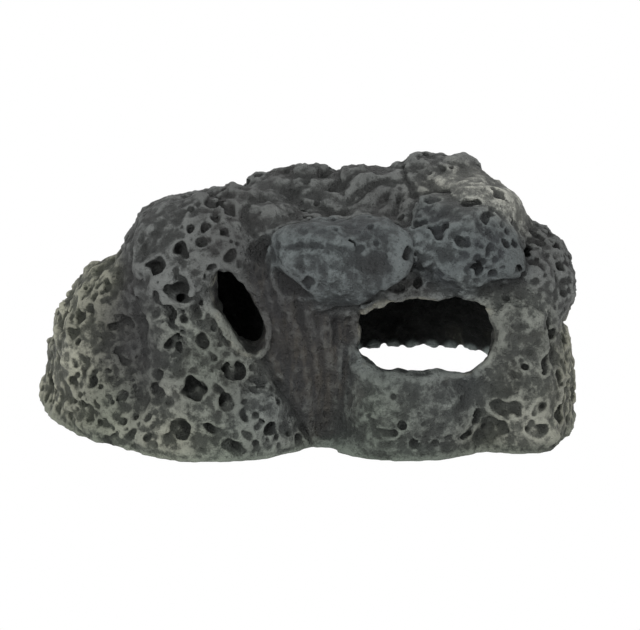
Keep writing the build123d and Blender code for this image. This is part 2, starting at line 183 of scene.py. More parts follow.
@dataclass(frozen=True)
class Lattice:
    """Evenly spaced sample points round the whole ornament, in millimetres."""

    low: Place
    shape: tuple[int, int, int]
    step: float = STEP

    @classmethod
    def around(cls, low: np.ndarray, high: np.ndarray) -> "Lattice":
        """A lattice that covers a box and a margin.

        Args:
            low: the box's lowest corner.
            high: its highest corner.

        Returns:
            A lattice with a whole number of coarse cells along each axis.
        """
        start = np.asarray(low) - MARGIN
        count = np.ceil((np.asarray(high) + MARGIN - start) / (STEP * COARSE)).astype(int) * COARSE
        return cls(tuple(float(v) for v in start), tuple(int(n) for n in count))

    def ticks(self, axis: int, block: Block | None = None) -> np.ndarray:
        """Coordinates along an axis.

        Args:
            axis: the axis.
            block: the part of the lattice that is wanted, or None for all of it.

        Returns:
            The coordinates, shaped so that they broadcast over the block.
        """
        values = self.low[axis] + self.step * np.arange(self.shape[axis], dtype=np.float32)
        if block is not None:
            values = values[block[axis]]
        shape = [1, 1, 1]
        shape[axis] = len(values)
        return values.reshape(shape)

    def coarse_ticks(self, axis: int) -> np.ndarray:
        """Coordinates of the coarse cells' middles along an axis."""
        return self.ticks(axis).ravel()[COARSE // 2 :: COARSE]

    def from_place(self, place: Place, block: Block) -> list[np.ndarray]:
        """How far a block's samples lie from a place, along each axis."""
        return [self.ticks(axis, block) - value for axis, value in enumerate(place)]

    def block(self, low: np.ndarray, high: np.ndarray) -> Block:
        """The part of the lattice that holds a box.

        Args:
            low: the box's lowest corner.
            high: its highest corner.

        Returns:
            One slice per axis, cut off at the lattice's own edges.
        """
        first = np.floor((np.asarray(low) - self.low) / self.step).astype(int)
        last = np.ceil((np.asarray(high) - self.low) / self.step).astype(int) + 1
        edges = zip(first, last, self.shape)
        return tuple(slice(max(int(a), 0), max(min(int(b), n), 0)) for a, b, n in edges)

    def around_ball(self, centre: np.ndarray, reach: float) -> Block:
        """The part of the lattice that holds a ball."""
        return self.block(np.asarray(centre) - reach, np.asarray(centre) + reach)

    def whole(self) -> Block:
        """The slices that hold every sample."""
        return tuple(slice(0, n) for n in self.shape)

    def index(self, value: float, axis: int) -> int:
        """Number of the sample nearest to a coordinate."""
        return int(np.clip(round((value - self.low[axis]) / self.step), 0, self.shape[axis] - 1))

    def distance(self, points: np.ndarray, faces: np.ndarray, block: Block) -> np.ndarray:
        """Signed distance to a closed mesh, flat beyond the band.

        Args:
            points: the mesh's vertices.
            faces: its triangles or quads.
            block: where the distance is wanted.

        Returns:
            The distance at the block's samples, negative inside.
        """
        inner = ((points - self.low) / self.step).astype(np.float32)
        kind = "triangles" if faces.shape[1] == 3 else "quads"
        grid = vdb.FloatGrid.createLevelSetFromPolygons(
            inner, **{kind: faces.astype(np.uint32)}, transform=vdb.createLinearTransform(1.0),
            halfWidth=BAND / self.step,
        )
        values = np.empty([s.stop - s.start for s in block], np.float32)
        grid.copyToArray(values, ijk=tuple(s.start for s in block))
        return values * self.step

    def surface(self, values: np.ndarray, block: Block) -> Mesh:
        """The closed surface where a field is zero.

        Args:
            values: a field over the block, negative inside.
            block: where it lies.

        Returns:
            Points and outward quads.
        """
        padded = np.pad(values, 1, constant_values=1.0)
        grid = vdb.FloatGrid(background=1.0)
        grid.copyFromArray(np.clip(padded, -2.0, 2.0).astype(np.float32), tolerance=0.0)
        grid.gridClass = vdb.GridClass.LEVEL_SET
        points, quads = grid.convertToQuads(isovalue=0.0)
        start = np.array([s.start for s in block]) - 1
        return np.array(self.low) + self.step * (points + start), quads[:, ::-1]

    def sample(self, values: np.ndarray, points: np.ndarray, coarse: bool = False) -> np.ndarray:
        """Trilinear look-up: the eight samples round a point, each weighed by the way to the far corner.

        Args:
            values: a field, which may hold a row of values per sample.
            points: where to read.
            coarse: whether the field is on the coarse cells.

        Returns:
            One value or row per point.
        """
        place = (points - self.low) / self.step
        if coarse:
            place = (place - (COARSE - 1) / 2) / COARSE
        place = np.clip(place, 0, np.array(values.shape[:3]) - 1.001)
        cell = place.astype(int)
        share = (place - cell).astype(np.float32)
        total = np.zeros((len(points), *values.shape[3:]), np.float32)
        for corner in np.ndindex(2, 2, 2):
            weight = np.prod(np.where(corner, share, 1.0 - share), axis=1)
            found = values[tuple((cell + corner).T)]
            total += weight.reshape(-1, *[1] * (values.ndim - 3)) * found
        return total

    def noise(self, cell: float | Place, seed: int) -> np.ndarray:
        """Smooth noise of about unit spread: random values on a coarse grid, blended by cubic B-splines.

        Args:
            cell: size of the grid's cells, one for all axes or one for each.
            seed: the random values' seed.

        Returns:
            The noise at every sample.
        """
        cells = np.broadcast_to(np.asarray(cell, float), 3)
        places = [np.arange(self.shape[k]) * self.step / cells[k] + 1.0 for k in range(3)]
        weights = [spline_weights(p, int(p[-1]) + 3) for p in places]
        rng = np.random.default_rng(seed)
        coarse = rng.standard_normal([w.shape[1] for w in weights]).astype(np.float32)
        return expand(coarse, weights) * np.float32(3.0)

    def coarsen(self, values: np.ndarray) -> np.ndarray:
        """Means over the coarse cells."""
        a, b, c = (n // COARSE for n in self.shape)
        return values.reshape(a, COARSE, b, COARSE, c, COARSE).astype(np.float32).mean(axis=(1, 3, 5))

    def refine(self, values: np.ndarray) -> np.ndarray:
        """A coarse field read smoothly at every fine sample."""
        places = [(np.arange(n) - (COARSE - 1) / 2) / COARSE for n in self.shape]
        return expand(values, [spline_weights(p, n // COARSE) for p, n in zip(places, self.shape)])

    def blur_wide(self, values: np.ndarray, sigma: float) -> np.ndarray:
        """A wide blur of a fine field, worked out on the coarse cells."""
        return self.refine(blur(self.coarsen(values), sigma / (self.step * COARSE)))


class Tint(Enum):
    """The paints, by the name of their material slot. Moss and the painted shade are washes only."""

    CHARCOAL = "dark_resin"
    GREY = "grey_resin"
    BLUE_GREY = "blue_grey_resin"
    STREAKED = "streaked_resin"
    OLIVE = "olive_resin"
    PALE = "pale_resin"
    MOSS = "moss_wash"
    # painted shade, laid as a dark wash where shade falls
    SOOT = "soot"


class View(Enum):
    """The side from which a scored line is drawn: the two axes that it is drawn in."""

    FRONT = (0, 2)
    TOP = (0, 1)


@dataclass(frozen=True)
class Relief:
    """How one stone is weathered. Heights in millimetres, pits as a count per square centimetre."""

    merge: float = 0.85             # share of the broad rounding that it takes away from the seams too
    swell: float = 1.5
    lumps: float = 0.5
    ridges: float = 0.6
    grain: float = 0.3
    streaks: float = 0.0
    pits: float = 1.6
    pit_radius: float = 1.7         # the middle one of the pits' radii
    largest: float = 4.0


@dataclass(frozen=True)
class Pit:
    """A large pit, seen from the front: its middle, its radius and its shape."""

    x: float
    z: float
    radius: float
    sink: float = 0.35              # how far its middle lies outside the rock, as a share of the radius
    stretch: float = 1.0
    rim: float = 1.0


@dataclass(frozen=True)
class Dent:
    """A broad hollow, or a lump where the depth is negative: depth * exp(-(distance / radius)^2)."""

    x: float
    y: float
    z: float
    radius: float
    depth: float


@dataclass(frozen=True)
class Facet:
    """A flat broken face: a point on it, the way that it looks and how far it reaches."""

    x: float
    y: float
    z: float
    facing: Place
    reach: float


@dataclass(frozen=True)
class Nick:
    """A place where an opening's edge runs into the hole, or back from it where the depth is negative."""

    x: float
    y: float
    z: float
    radius: float
    depth: float


@dataclass(frozen=True)
class Score:
    """A scored line: start and end as seen in its view, its width and its depth."""

    view: View
    start: tuple[float, float]
    end: tuple[float, float]
    width: float = 1.6
    depth: float = 1.8


@dataclass(frozen=True)
class Wash:
    """A place where another paint shows: share * exp(-(distance / radius)^2)."""

    tint: Tint
    x: float
    y: float
    z: float
    radius: float
    share: float = 0.8


@dataclass(frozen=True)
class Stone:
    """One casting: the CAD node it stands for, its paint and its weathering."""

    node: str
    tint: Tint
    relief: Relief = Relief()


@dataclass(frozen=True)
class RockSizes:
    """Sizes of the melted rock, in millimetres where no share or cell is meant."""

    wander: float = 1.8             # how far a seam strays, so that it doesn't run straight
    wander_cell: float = 16.0
    wander_turn: float = 2.4        # radians by which the next stone's wander differs
    foot_level: float = 4.0         # below this the rock goes on as it is at this height
    share_blur: float = 3.0         # how softly one stone's weathering gives way to the next one's
    tight: float = 1.8              # rounding of a stone's own form
    broad: float = 6.0              # rounding where stones meet
    bulge: float = 0.07             # share by which the broad form is the fuller one
    seam_near: float = 3.0          # all of the broad rounding up to here from a seam
    seam_far: float = 9.0           # and none past here
    seam_blur: float = 2.5
    crisp: float = 0.6              # share of the small forms that is added once more
    small_form: float = 3.5         # how wide a small form is
    out_most: float = 0.8           # what stands out further than this isn't made crisper still
    in_most: float = 2.5            # and the same for what lies deeper
    deepest_cut: float = 6.5        # a broken face goes no deeper
    cut_edge: float = 1.2           # rounding of its edge


@dataclass(frozen=True)
class CaveSizes:
    """Sizes of the cave, its openings and its foot, in millimetres."""

    closed_gap: float = 0.3         # solids with less between them make one wall
    air_gap: float = 0.4            # the cave's air is further than this from every solid
    wall_front: float = -2.5        # rock that is met only behind this Y isn't the front wall
    wall_back: float = 12.0         # rock that is met only before this Y isn't the rear wall
    bridge: float = 9.0             # how far away a wall is looked for to carry its face across an opening
    run_out: float = 2.0            # how far an opening runs out past the wall's face
    soft: float = 2.6               # rounding of the cave and of the openings' edges
    lining: float = 3.8             # no pit comes nearer to the cave
    wavy: float = 0.5               # waves on the cave's walls, the long ones
    wavy_short: float = 0.25
    edge: float = 2.5               # rounding between the outside and the cave
    foot_low: float = 1.0           # the weathering is held back below here
    foot_high: float = 7.0          # and has its full height from here
    foot_share: float = 0.3         # what is left of it at the ground
    # the cave's paint set out by the next two sizes is a painted shade of its inside
    hidden_front: float = -29.0     # the cave's paint starts behind this Y
    hidden_back: float = -18.0      # and covers all from here
    scallop_pitch: float = 9.0      # from one bump over the rear arch to the next
    scallop_width: float = 3.4      # half a bump's width
    scallop_height: float = 3.8     # half its height
    scallop_level: float = 12.5     # Z of the row
    scallop_relief: float = 1.2     # how far a bump stands out


@dataclass(frozen=True)
class PitRules:
    """How the small pits are scattered. Lengths in millimetres, shares of a pit's own radius."""

    foot: float = 4.0               # no pit lies lower
    crowd_cell: float = 14.0        # pits come in crowds of about this size
    crowd_middle: float = -0.1      # a spot may hold a pit where the crowds' noise is above about this
    crowd_spread: float = 0.6       # and by how much that level varies from spot to spot
    face_of_sample: float = 1.8     # open face per sample, over the sample's own square
    size_spread: float = 0.5        # spread of the logarithm of the radii
    smallest: float = 0.75
    tries: int = 8                  # places that are tried for a pit
    overlap: float = 0.95           # two pits' middles are this share of their radii apart, or more
    between: float = 0.3            # and this much on top
    sink: tuple[float, float] = (0.1, 0.65)         # how far a pit's middle lies outside the rock
    stretch: tuple[float, float] = (1.0, 1.6)       # length over width
    rim: float = 0.12               # height of the rim
    rim_share: float = 0.16         # and what a pit's radius adds to it


class Rock:
    """All stones as one weathered field on a lattice, in millimetres.

    Attributes:
        numbers: each node's place in the list of stones.
        blocks: where each stone's claim lies on the lattice.
        claims: each stone's distance field, with a slow wander added.
        near: the lowest of the claims.
        second: the second lowest.
        owner: number of the stone whose claim is the lowest.
        union: distance to the nearest solid.
        filled: the rock together with its cave.
        front_gap: the openings as seen square on from the front.
        front_face: Y of the front wall, carried across its openings.
        inside: how much of the air round a sample belongs to the cave.
        cave: depth into the cave and its openings, negative in the rock.
        shares: how much each stone counts, on the coarse cells.
        bare: the melted rock with its cave filled, before any weathering.
        outer: the same, weathered.
        rough: the same before the pits.
        waver: noise by which the pits' edges stray.
        placed: middles and radii of the pits so far.
        skin: the finished surface, negative inside.
        fine, broad: how far a point stands out from what lies close to it, or further round it.
        putty, bumps: where the putty lies, and where the bumps over the rear arch are, which carry a
            painted highlight.
        tints: how much each paint counts, on the coarse cells.
    """

    sizes = RockSizes()
    hollow = CaveSizes()
    rules = PitRules()
    stones: list[Stone]
    numbers: dict[str, int]
    lattice: Lattice
    blocks: list[Block]
    claims: list[np.ndarray]
    near: np.ndarray
    second: np.ndarray
    owner: np.ndarray
    union: np.ndarray
    filled: np.ndarray
    front_gap: np.ndarray
    front_face: np.ndarray
    inside: np.ndarray
    cave: np.ndarray
    shares: np.ndarray
    bare: np.ndarray
    outer: np.ndarray
    rough: np.ndarray
    waver: np.ndarray
    placed: np.ndarray
    skin: np.ndarray
    fine: np.ndarray
    broad: np.ndarray
    putty: np.ndarray
    bumps: np.ndarray
    tints: np.ndarray

    def __init__(self, stones: list[Stone], nodes: dict[str, bpy.types.Object]) -> None:
        """Reads the nodes' meshes, fills the distance fields and melts the stones together.

        Args:
            stones: the castings.
            nodes: the frame's node objects by name.
        """
        self.stones = stones
        self.numbers = {stone.node: number for number, stone in enumerate(stones)}
        meshes = [self.read(nodes[stone.node]) for stone in stones]
        corners = np.concatenate([points for points, _ in meshes])
        self.lattice = Lattice.around(corners.min(0), corners.max(0))
        log.info("lattice %s", self.lattice.shape)
        self.gather(meshes)
        self.find_cave()
        self.melt()

    @staticmethod
    def read(node: bpy.types.Object) -> Mesh:
        """A node's vertices in millimetres and its triangles.

        Args:
            node: the node's object.

        Returns:
            Points and triangles.
        """
        mesh = node.data
        mesh.calc_loop_triangles()
        points = np.empty(len(mesh.vertices) * 3, np.float32)
        mesh.vertices.foreach_get("co", points)
        triangles = np.empty(len(mesh.loop_triangles) * 3, np.int32)
        mesh.loop_triangles.foreach_get("vertices", triangles)
        return points.reshape(-1, 3) / METRE, triangles.reshape(-1, 3)

    def gather(self, meshes: list[Mesh]) -> None:
        """Fills the claims, the nearest and second nearest distance, the owner and the plain union.

        Args:
            meshes: each stone's points and triangles.
        """
        lattice, sizes = self.lattice, self.sizes
        shape = lattice.shape
        self.near = np.full(shape, BAND, np.float32)
        self.second = np.full(shape, BAND, np.float32)
        self.owner = np.full(shape, len(self.stones), np.int8)
        self.union = np.full(shape, BAND, np.float32)
        self.blocks = []
        self.claims = []
        drift = [lattice.noise(sizes.wander_cell, 900 + k) for k in range(2)]
        for number, (points, triangles) in enumerate(meshes):
            block = lattice.block(points.min(0) - BAND, points.max(0) + BAND)
            distance = lattice.distance(points, triangles, block)
            self.union[block] = np.minimum(self.union[block], distance)
            turn = sizes.wander_turn * number
            sway = math.cos(turn) * drift[0][block] + math.sin(turn) * drift[1][block]
            claim = distance + sizes.wander * sway
            first = self.near[block]
            closer = claim < first
            self.second[block] = np.where(closer, first, np.minimum(self.second[block], claim))
            self.near[block] = np.where(closer, claim, first)
            self.owner[block] = np.where(closer, number, self.owner[block])
            self.blocks.append(block)
            self.claims.append(claim)
        level = lattice.index(sizes.foot_level, 2)
        self.union[:, :, :level] = self.union[:, :, level : level + 1]

    def look(self, solid: np.ndarray, behind: bool) -> np.ndarray:
        """Y of the first rock that is met along a level line.

        Args:
            solid: where the rock is.
            behind: whether to look from behind.

        Returns:
            Y for each X and Z, NaN where there is no rock.
        """
        index = (solid[:, ::-1] if behind else solid).argmax(axis=1)
        if behind:
            index = self.lattice.shape[1] - 1 - index
        face = self.lattice.low[1] + self.lattice.step * index.astype(np.float32)
        return np.where(solid.any(axis=1), face, np.float32(np.nan))

    def bridge(self, face: np.ndarray, known: np.ndarray) -> np.ndarray:
        """Carries a wall's face across its gaps: a blur of the known face over a blur of where it is known.

        Args:
            face: Y of the wall for each X and Z.
            known: where that is the wall.

        Returns:
            Y of the wall everywhere.
        """
        spread = self.hollow.bridge / self.lattice.step
        weight = blur(known, spread)
        total = blur(np.where(known, face, 0.0), spread)
        return np.where(known, face, total / np.maximum(weight, TINY))

    def find_cave(self) -> None:
        """Finds the openings, seen square on from both sides, and the cave between the walls.

        An opening is a place with no wall, but with wall on both sides and above, and at the front below
        too. The walls' faces are carried across the openings, and the cave is what then has rock above it
        and on all four sides.
        """
        lattice, hollow = self.lattice, self.hollow
        solid = self.union < hollow.closed_gap
        depths = lattice.ticks(1)
        front, back = self.look(solid, behind=False), self.look(solid, behind=True)
        front_wall, back_wall = front < hollow.wall_front, back > hollow.wall_back
        self.front_gap = ~front_wall & beyond(front_wall, 0, True) & beyond(front_wall, 0, False)
        self.front_gap &= beyond(front_wall, 1, True) & beyond(front_wall, 1, False)
        back_gap = ~back_wall & beyond(back_wall, 0, True) & beyond(back_wall, 0, False)
        back_gap &= beyond(back_wall, 1, True)
        self.front_face = self.bridge(front, front_wall)
        near_face = self.front_face[:, None, :]
        far_face = self.bridge(back, back_wall)[:, None, :]
        near_side = self.front_gap[:, None, :] & (depths < 0)
        far_side = back_gap[:, None, :] & (depths > 0)
        closed = solid | (near_side & (depths >= near_face))
        closed |= far_side & (depths <= far_face)
        covered = ~closed
        for axis, forward in ((0, True), (0, False), (1, True), (1, False), (2, True)):
            covered &= beyond(closed, axis, forward)
        self.filled = closed | covered
        air = self.filled & (self.union > hollow.air_gap)
        air |= near_side & (depths < near_face + hollow.run_out)
        air |= far_side & (depths > far_face - hollow.run_out)
        self.inside = blur(air, hollow.soft / lattice.step)
        points, quads = lattice.surface(0.5 - self.inside, lattice.whole())
        self.cave = -lattice.distance(points, quads, lattice.whole())

    def melt(self) -> None:
        """Melts the stones into one rock: two blurs of what is solid, the broad one near the seams.

        Away from the seams each stone has its own share of the broad blur. The small forms that are left
        are then made crisper: field + crisp * (field - blur of the field).
        """
        lattice, sizes = self.lattice, self.sizes
        cell = lattice.step * COARSE
        owner = self.owner[COARSE // 2 :: COARSE, COARSE // 2 :: COARSE, COARSE // 2 :: COARSE]
        layers = [blur(owner == number, sizes.share_blur / cell) for number in range(len(self.stones))]
        self.shares = np.stack(layers, axis=-1)
        self.shares /= np.maximum(self.shares.sum(axis=-1, keepdims=True), 1e-3)
        solid = lattice.coarsen(self.filled)
        tight = blur(solid, sizes.tight / cell)
        broad = blur(solid, sizes.broad / cell) + sizes.bulge
        merge = self.per_stone([stone.relief.merge for stone in self.stones])
        seam = 1.0 - ramp(lattice.coarsen(self.second - self.near), sizes.seam_near, sizes.seam_far)
        share = blur(merge + (1.0 - merge) * seam, sizes.seam_blur / cell)
        level = lattice.refine(tight + (broad - tight) * share)
        points, quads = lattice.surface((0.5 - level) * 8.0, lattice.whole())
        self.bare = lattice.distance(points, quads, lattice.whole())
        detail = self.bare - lattice.blur_wide(self.bare, sizes.small_form)
        self.outer = self.bare + sizes.crisp * np.clip(detail, -sizes.out_most, sizes.in_most)

    def per_stone(self, values: list[float]) -> np.ndarray:
        """One value per stone as a coarse field that changes softly from stone to stone."""
        return self.shares @ np.array(values, np.float32)

    def spread(self, name: str) -> np.ndarray:
        """One measure of the stones' relief as such a field on the fine lattice."""
        return self.lattice.refine(self.per_stone([getattr(stone.relief, name) for stone in self.stones]))

    def weather(self) -> None:
        """Adds the broad swellings, the lumps, the sharp ridges between hollows and the streaks.

        Swellings and streaks are plain noise. Lumps and ridges are the absolute value of noise, which is
        creased where the noise is zero: a lump stands between creases, and a ridge is a crease turned out.
        """
        noise = self.lattice.noise      # takes a cell size and a seed
        swellings = 0.8 * noise(17.0, 1) + 0.5 * noise(9.0, 21)
        lumps = np.abs(noise(9.0, 22)) + 0.3 * np.abs(noise(4.5, 23)) - 0.9
        ridges = np.abs(noise(5.6, 2)) + 0.4 * np.abs(noise(2.8, 3)) - 1.0
        streaks = noise((4.0, 5.0, 22.0), 4)
        self.outer -= self.spread("swell") * swellings
        self.outer -= self.spread("lumps") * lumps
        self.outer += self.spread("ridges") * ridges
        self.outer -= self.spread("streaks") * streaks

    def press(self, field: np.ndarray, spot: Dent | Nick, sign: float) -> None:
        """Adds one soft bump to a field: sign * depth * exp(-(distance / radius)^2).

        Args:
            field: the field that is changed.
            spot: where, how wide and how deep.
            sign: 1 or -1.
        """
        middle = (spot.x, spot.y, spot.z)
        block = self.lattice.around_ball(middle, 2.2 * spot.radius)
        away = np.sqrt(sum(way**2 for way in self.lattice.from_place(middle, block)))
        field[block] += sign * spot.depth * bell(away, spot.radius)

    def dent(self, dents: list[Dent]) -> None:
        """Presses in the broad hollows and raises the lumps."""
        for dent in dents:
            self.press(self.outer, dent, 1.0)

    def nick(self, nicks: list[Nick]) -> None:
        """Makes the edges of the openings uneven."""
        for nick in nicks:
            self.press(self.cave, nick, -1.0)

    def break_off(self, facets: list[Facet]) -> None:
        """Cuts the flat faces: the higher of the field and the distance past the plane.

        The plane falls away towards its rim, so that a face is a patch and ends softly.

        Args:
            facets: the broken faces.
        """
        for facet in facets:
            middle = (facet.x, facet.y, facet.z)
            block = self.lattice.around_ball(middle, facet.reach)
            ways = self.lattice.from_place(middle, block)
            away = np.sqrt(sum(way**2 for way in ways))
            facing = np.array(facet.facing) / np.linalg.norm(facet.facing)
            past = sum(float(f) * way for f, way in zip(facing, ways))
            past = past - 1.5 * facet.reach * ramp(away, 0.5 * facet.reach, facet.reach)
            outer = self.outer[block]
            cut = smooth_max(outer, past, self.sizes.cut_edge)
            self.outer[block] = np.minimum(cut, outer + self.sizes.deepest_cut)

    def crack(self, first: str, second: str, depth: float = 2.0, width: float = 2.2) -> None:
        """Sinks a crack along a seam: depth * exp(-(difference of the claims / width)^2), near both stones.

        Args:
            first: node of one stone.
            second: node of the other.
            depth: the crack's depth.
            width: its half width.
        """
        one, two = self.numbers[first], self.numbers[second]
        sides = zip(self.blocks[one], self.blocks[two])
        block = tuple(slice(max(a.start, b.start), min(a.stop, b.stop)) for a, b in sides)
        if min(s.stop - s.start for s in block) < 1:
            return
        views = []
        for number in (one, two):
            corner = [s.start for s in self.blocks[number]]
            window = tuple(slice(s.start - c, s.stop - c) for s, c in zip(block, corner))
            views.append(self.claims[number][window])
        close = bell(np.maximum(np.minimum(*views), 0.0), 5.0)
        self.outer[block] += depth * bell(views[0] - views[1], width) * close

    def score(self, scores: list[Score], crown: float = 80.0) -> None:
        """Cuts the scored lines: depth * exp(-(distance from the line, with a wander, / width)^2).

        Args:
            scores: the lines. Those in the front view are cut before Y 0.
            crown: lines in the top view are cut above this.
        """
        lattice = self.lattice
        sway = lattice.noise(7.0, 31)
        for line in scores:
            axes = line.view.value
            reach = 3.0 * line.width
            low, high = [-FAR] * 3, [FAR] * 3
            for k, axis in enumerate(axes):
                low[axis] = min(line.start[k], line.end[k]) - reach
                high[axis] = max(line.start[k], line.end[k]) + reach
            if line.view is View.FRONT:
                high[1] = 0.0
            else:
                low[2] = crown
            block = lattice.block(low, high)
            start, run = np.array(line.start), np.array(line.end) - np.array(line.start)
            a, b = (lattice.ticks(axis, block) - start[k] for k, axis in enumerate(axes))
            along = np.clip((a * run[0] + b * run[1]) / (run @ run), 0.0, 1.0)
            across = np.sqrt((a - along * run[0]) ** 2 + (b - along * run[1]) ** 2)
            fade = np.sqrt(np.clip(1.0 - np.abs(2.0 * along - 1.0) ** 3, 0.0, 1.0))
            self.outer[block] += line.depth * fade * bell(across + 0.5 * sway[block], line.width)

    def carve(
        self,
        centre: np.ndarray,
        radius: float,
        rim: float,
        stretch: float = 1.0,
        along: Place = (1.0, 0.0, 0.0),
    ) -> None:
        """Cuts one round or oval pit with a raised rim.

        The pit is an ellipsoid whose radius wavers with the lattice's noise; the rim is a ring
        rim * exp(-((r - 1.1 radius) / width)^2) added before the cut.

        Args:
            centre: middle of the pit's hollow.
            radius: its radius across.
            rim: height of the rim.
            stretch: length over width.
            along: unit vector along its length.
        """
        lattice = self.lattice
        block = lattice.around_ball(centre, radius * max(stretch, 1.0) * 1.7 + 1.5)
        if min(s.stop - s.start for s in block) < 2:
            return
        dx, dy, dz = lattice.from_place(centre, block)
        run = dx * along[0] + dy * along[1] + dz * along[2]
        away = np.sqrt(np.maximum(dx**2 + dy**2 + dz**2 - (1.0 - stretch**-2) * run**2, 0.0))
        away = away + self.waver[block] * (0.25 * radius + 0.15)
        skin = self.outer[block]
        skin = skin - rim * bell(away - 1.1 * radius, 0.24 * radius + 0.4) * bell(skin, 1.8)
        self.outer[block] = smooth_max(skin, radius - away, 0.5 + 0.22 * radius)

    def outward(self, place: np.ndarray) -> np.ndarray:
        """The direction out of the rock at a sample: the gradient of the bare field over four samples.

        Args:
            place: the sample's three numbers.

        Returns:
            A unit vector.
        """
        ends = np.array(self.lattice.shape) - 1
        ways = []
        for axis in range(3):
            ahead, behind = place.copy(), place.copy()
            ahead[axis] = min(place[axis] + 2, ends[axis])
            behind[axis] = max(place[axis] - 2, 0)
            ways.append(self.bare[tuple(ahead)] - self.bare[tuple(behind)])
        way = np.array(ways)
        return way / (np.linalg.norm(way) + TINY)

    def place_named_pits(self, pits: list[Pit]) -> None:
        """Cuts the large pits, each where a level line from the front first meets the rock.

        Args:
            pits: the large pits.
        """
        lattice = self.lattice
        self.rough = self.outer.copy()
        self.waver = lattice.noise(2.6, 8)
        self.placed = np.zeros((0, 4))
        for pit in pits:
            i, k = lattice.index(pit.x, 0), lattice.index(pit.z, 2)
            place = np.array([i, int(np.argmax(self.outer[i, :, k] < 0)), k])
            surface = np.array(lattice.low) + lattice.step * place
            centre = surface + self.outward(place) * pit.radius * pit.sink
            self.placed = np.vstack([self.placed, [*centre, pit.radius * max(pit.stretch, 1.0) * 1.1]])
            self.carve(centre, pit.radius, rim=pit.rim * (0.25 + 0.13 * pit.radius), stretch=pit.stretch)

    def wish_pits(self, rng: np.random.Generator) -> list[tuple[float, np.ndarray]]:
        """Draws the small pits: how many a stone gets, how large they are and where each may go.

        Args:
            rng: the random numbers.

        Returns:
            A radius and the samples to try for each pit, the largest pit first.
        """
        lattice, rules = self.lattice, self.rules
        open_face = (np.abs(self.outer) < 0.5 * lattice.step) & (self.inside < 0.1)
        open_face[:, :, : lattice.index(rules.foot, 2)] = False
        spots = np.argwhere(open_face)
        crowd = lattice.noise(rules.crowd_cell, 61)[tuple(spots.T)]
        spots = spots[crowd > rng.normal(rules.crowd_middle, rules.crowd_spread, len(spots))]
        owners = self.owner[tuple(spots.T)]
        wishes = []
        for number, stone in enumerate(self.stones):
            mine = spots[owners == number]
            wanted = int(len(mine) * rules.face_of_sample * lattice.step**2 / 100.0 * stone.relief.pits)
            if not wanted:
                continue
            radii = stone.relief.pit_radius * np.exp(rng.normal(0.0, rules.size_spread, wanted))
            radii = np.clip(radii, rules.smallest, stone.relief.largest)
            tries = mine[rng.integers(0, len(mine), (wanted, rules.tries))]
            wishes += [(radius, places) for radius, places in zip(radii, tries)]
        return sorted(wishes, key=lambda wish: -wish[0])

    def is_free(self, centre: np.ndarray, radius: float) -> bool:
        """Whether a new pit keeps clear of those that are there.

        Args:
            centre: the new pit's middle.
            radius: its radius.

        Returns:
            True where it does.
        """
        apart = np.linalg.norm(self.placed[:, :3] - centre, axis=1)
        apart = apart - self.rules.overlap * (self.placed[:, 3] + radius)
        return not len(apart) or apart.min() >= self.rules.between

    def place_pits(self, seed: int = 11) -> None:
        """Scatters small pits over the open faces, the largest first.

        Args:
            seed: seed of the random numbers.
        """
        lattice, rules = self.lattice, self.rules
        rng = np.random.default_rng(seed)
        wishes = self.wish_pits(rng)
        for radius, places in wishes:
            for place in places:
                centre = np.array(lattice.low) + lattice.step * place
                if not self.is_free(centre, radius):
                    continue
                centre = centre + self.outward(place) * radius * rng.uniform(*rules.sink)
                along = rng.normal(size=3)
                along /= np.linalg.norm(along)
                self.placed = np.vstack([self.placed, [*centre, radius]])
                rim = rules.rim + rules.rim_share * radius
                self.carve(centre, radius, rim, rng.uniform(*rules.stretch), along)
                break
        log.info("pits %d of %d", len(self.placed), len(wishes))

    def scallop(self) -> np.ndarray:
        """Round bumps in a row over the rear arch, near the cave's own wall.

        Returns:
            A field that is 1 on a bump and 0 between them.
        """
        hollow = self.hollow
        x, y, z = (self.lattice.ticks(k) for k in range(3))
        along = np.mod(x, hollow.scallop_pitch) - hollow.scallop_pitch / 2
        rise = z - hollow.scallop_level
        away = np.sqrt((along / hollow.scallop_width) ** 2 + (rise / hollow.scallop_height) ** 2)
        bumps = (1.0 - ramp(away, 0.7, 1.15)) * ramp(y, 26.0, 34.0) * (1.0 - ramp(y, 46.0, 50.0))
        return bumps * ramp(self.cave, -3.5, -1.5)

    def lay_lip(self, round_edge: float = 4.0) -> None:
        """Lays a ragged bead of putty along the upper edge of the window and thins it out to the sides.

        The bead is a tube round the window's edge: the root of (way to the edge)^2 + (way to the wall's
        face)^2, less a thickness. The way to the edge is a half less a blur of the opening, over the slope
        that such a blur has at a straight edge, 1 / (sqrt(2 pi) * blur).

        Args:
            round_edge: blur of the opening's outline.
        """
        lattice = self.lattice
        run = math.sqrt(2.0 * math.pi) * round_edge
        edge = (0.5 - blur(self.front_gap, round_edge / lattice.step)) * run
        x, y, z = (lattice.ticks(k) for k in range(3))
        thick = np.minimum(1.0 + 0.8 * lattice.noise(4.5, 41), 2.4)
        thick = thick * ramp(z, 46.0, 54.0) * ramp(x, 16.0, 26.0) * ramp(-x, -92.0, -84.0)
        away = np.sqrt((edge[:, None, :] - 0.6) ** 2 + (y - self.front_face[:, None, :] - 1.5) ** 2)
        bead = np.maximum(away - thick, 0.3 - thick)
        self.outer = smooth_min(self.outer, bead, 1.4)
        self.putty = bell(np.maximum(bead, 0.0), 0.8)

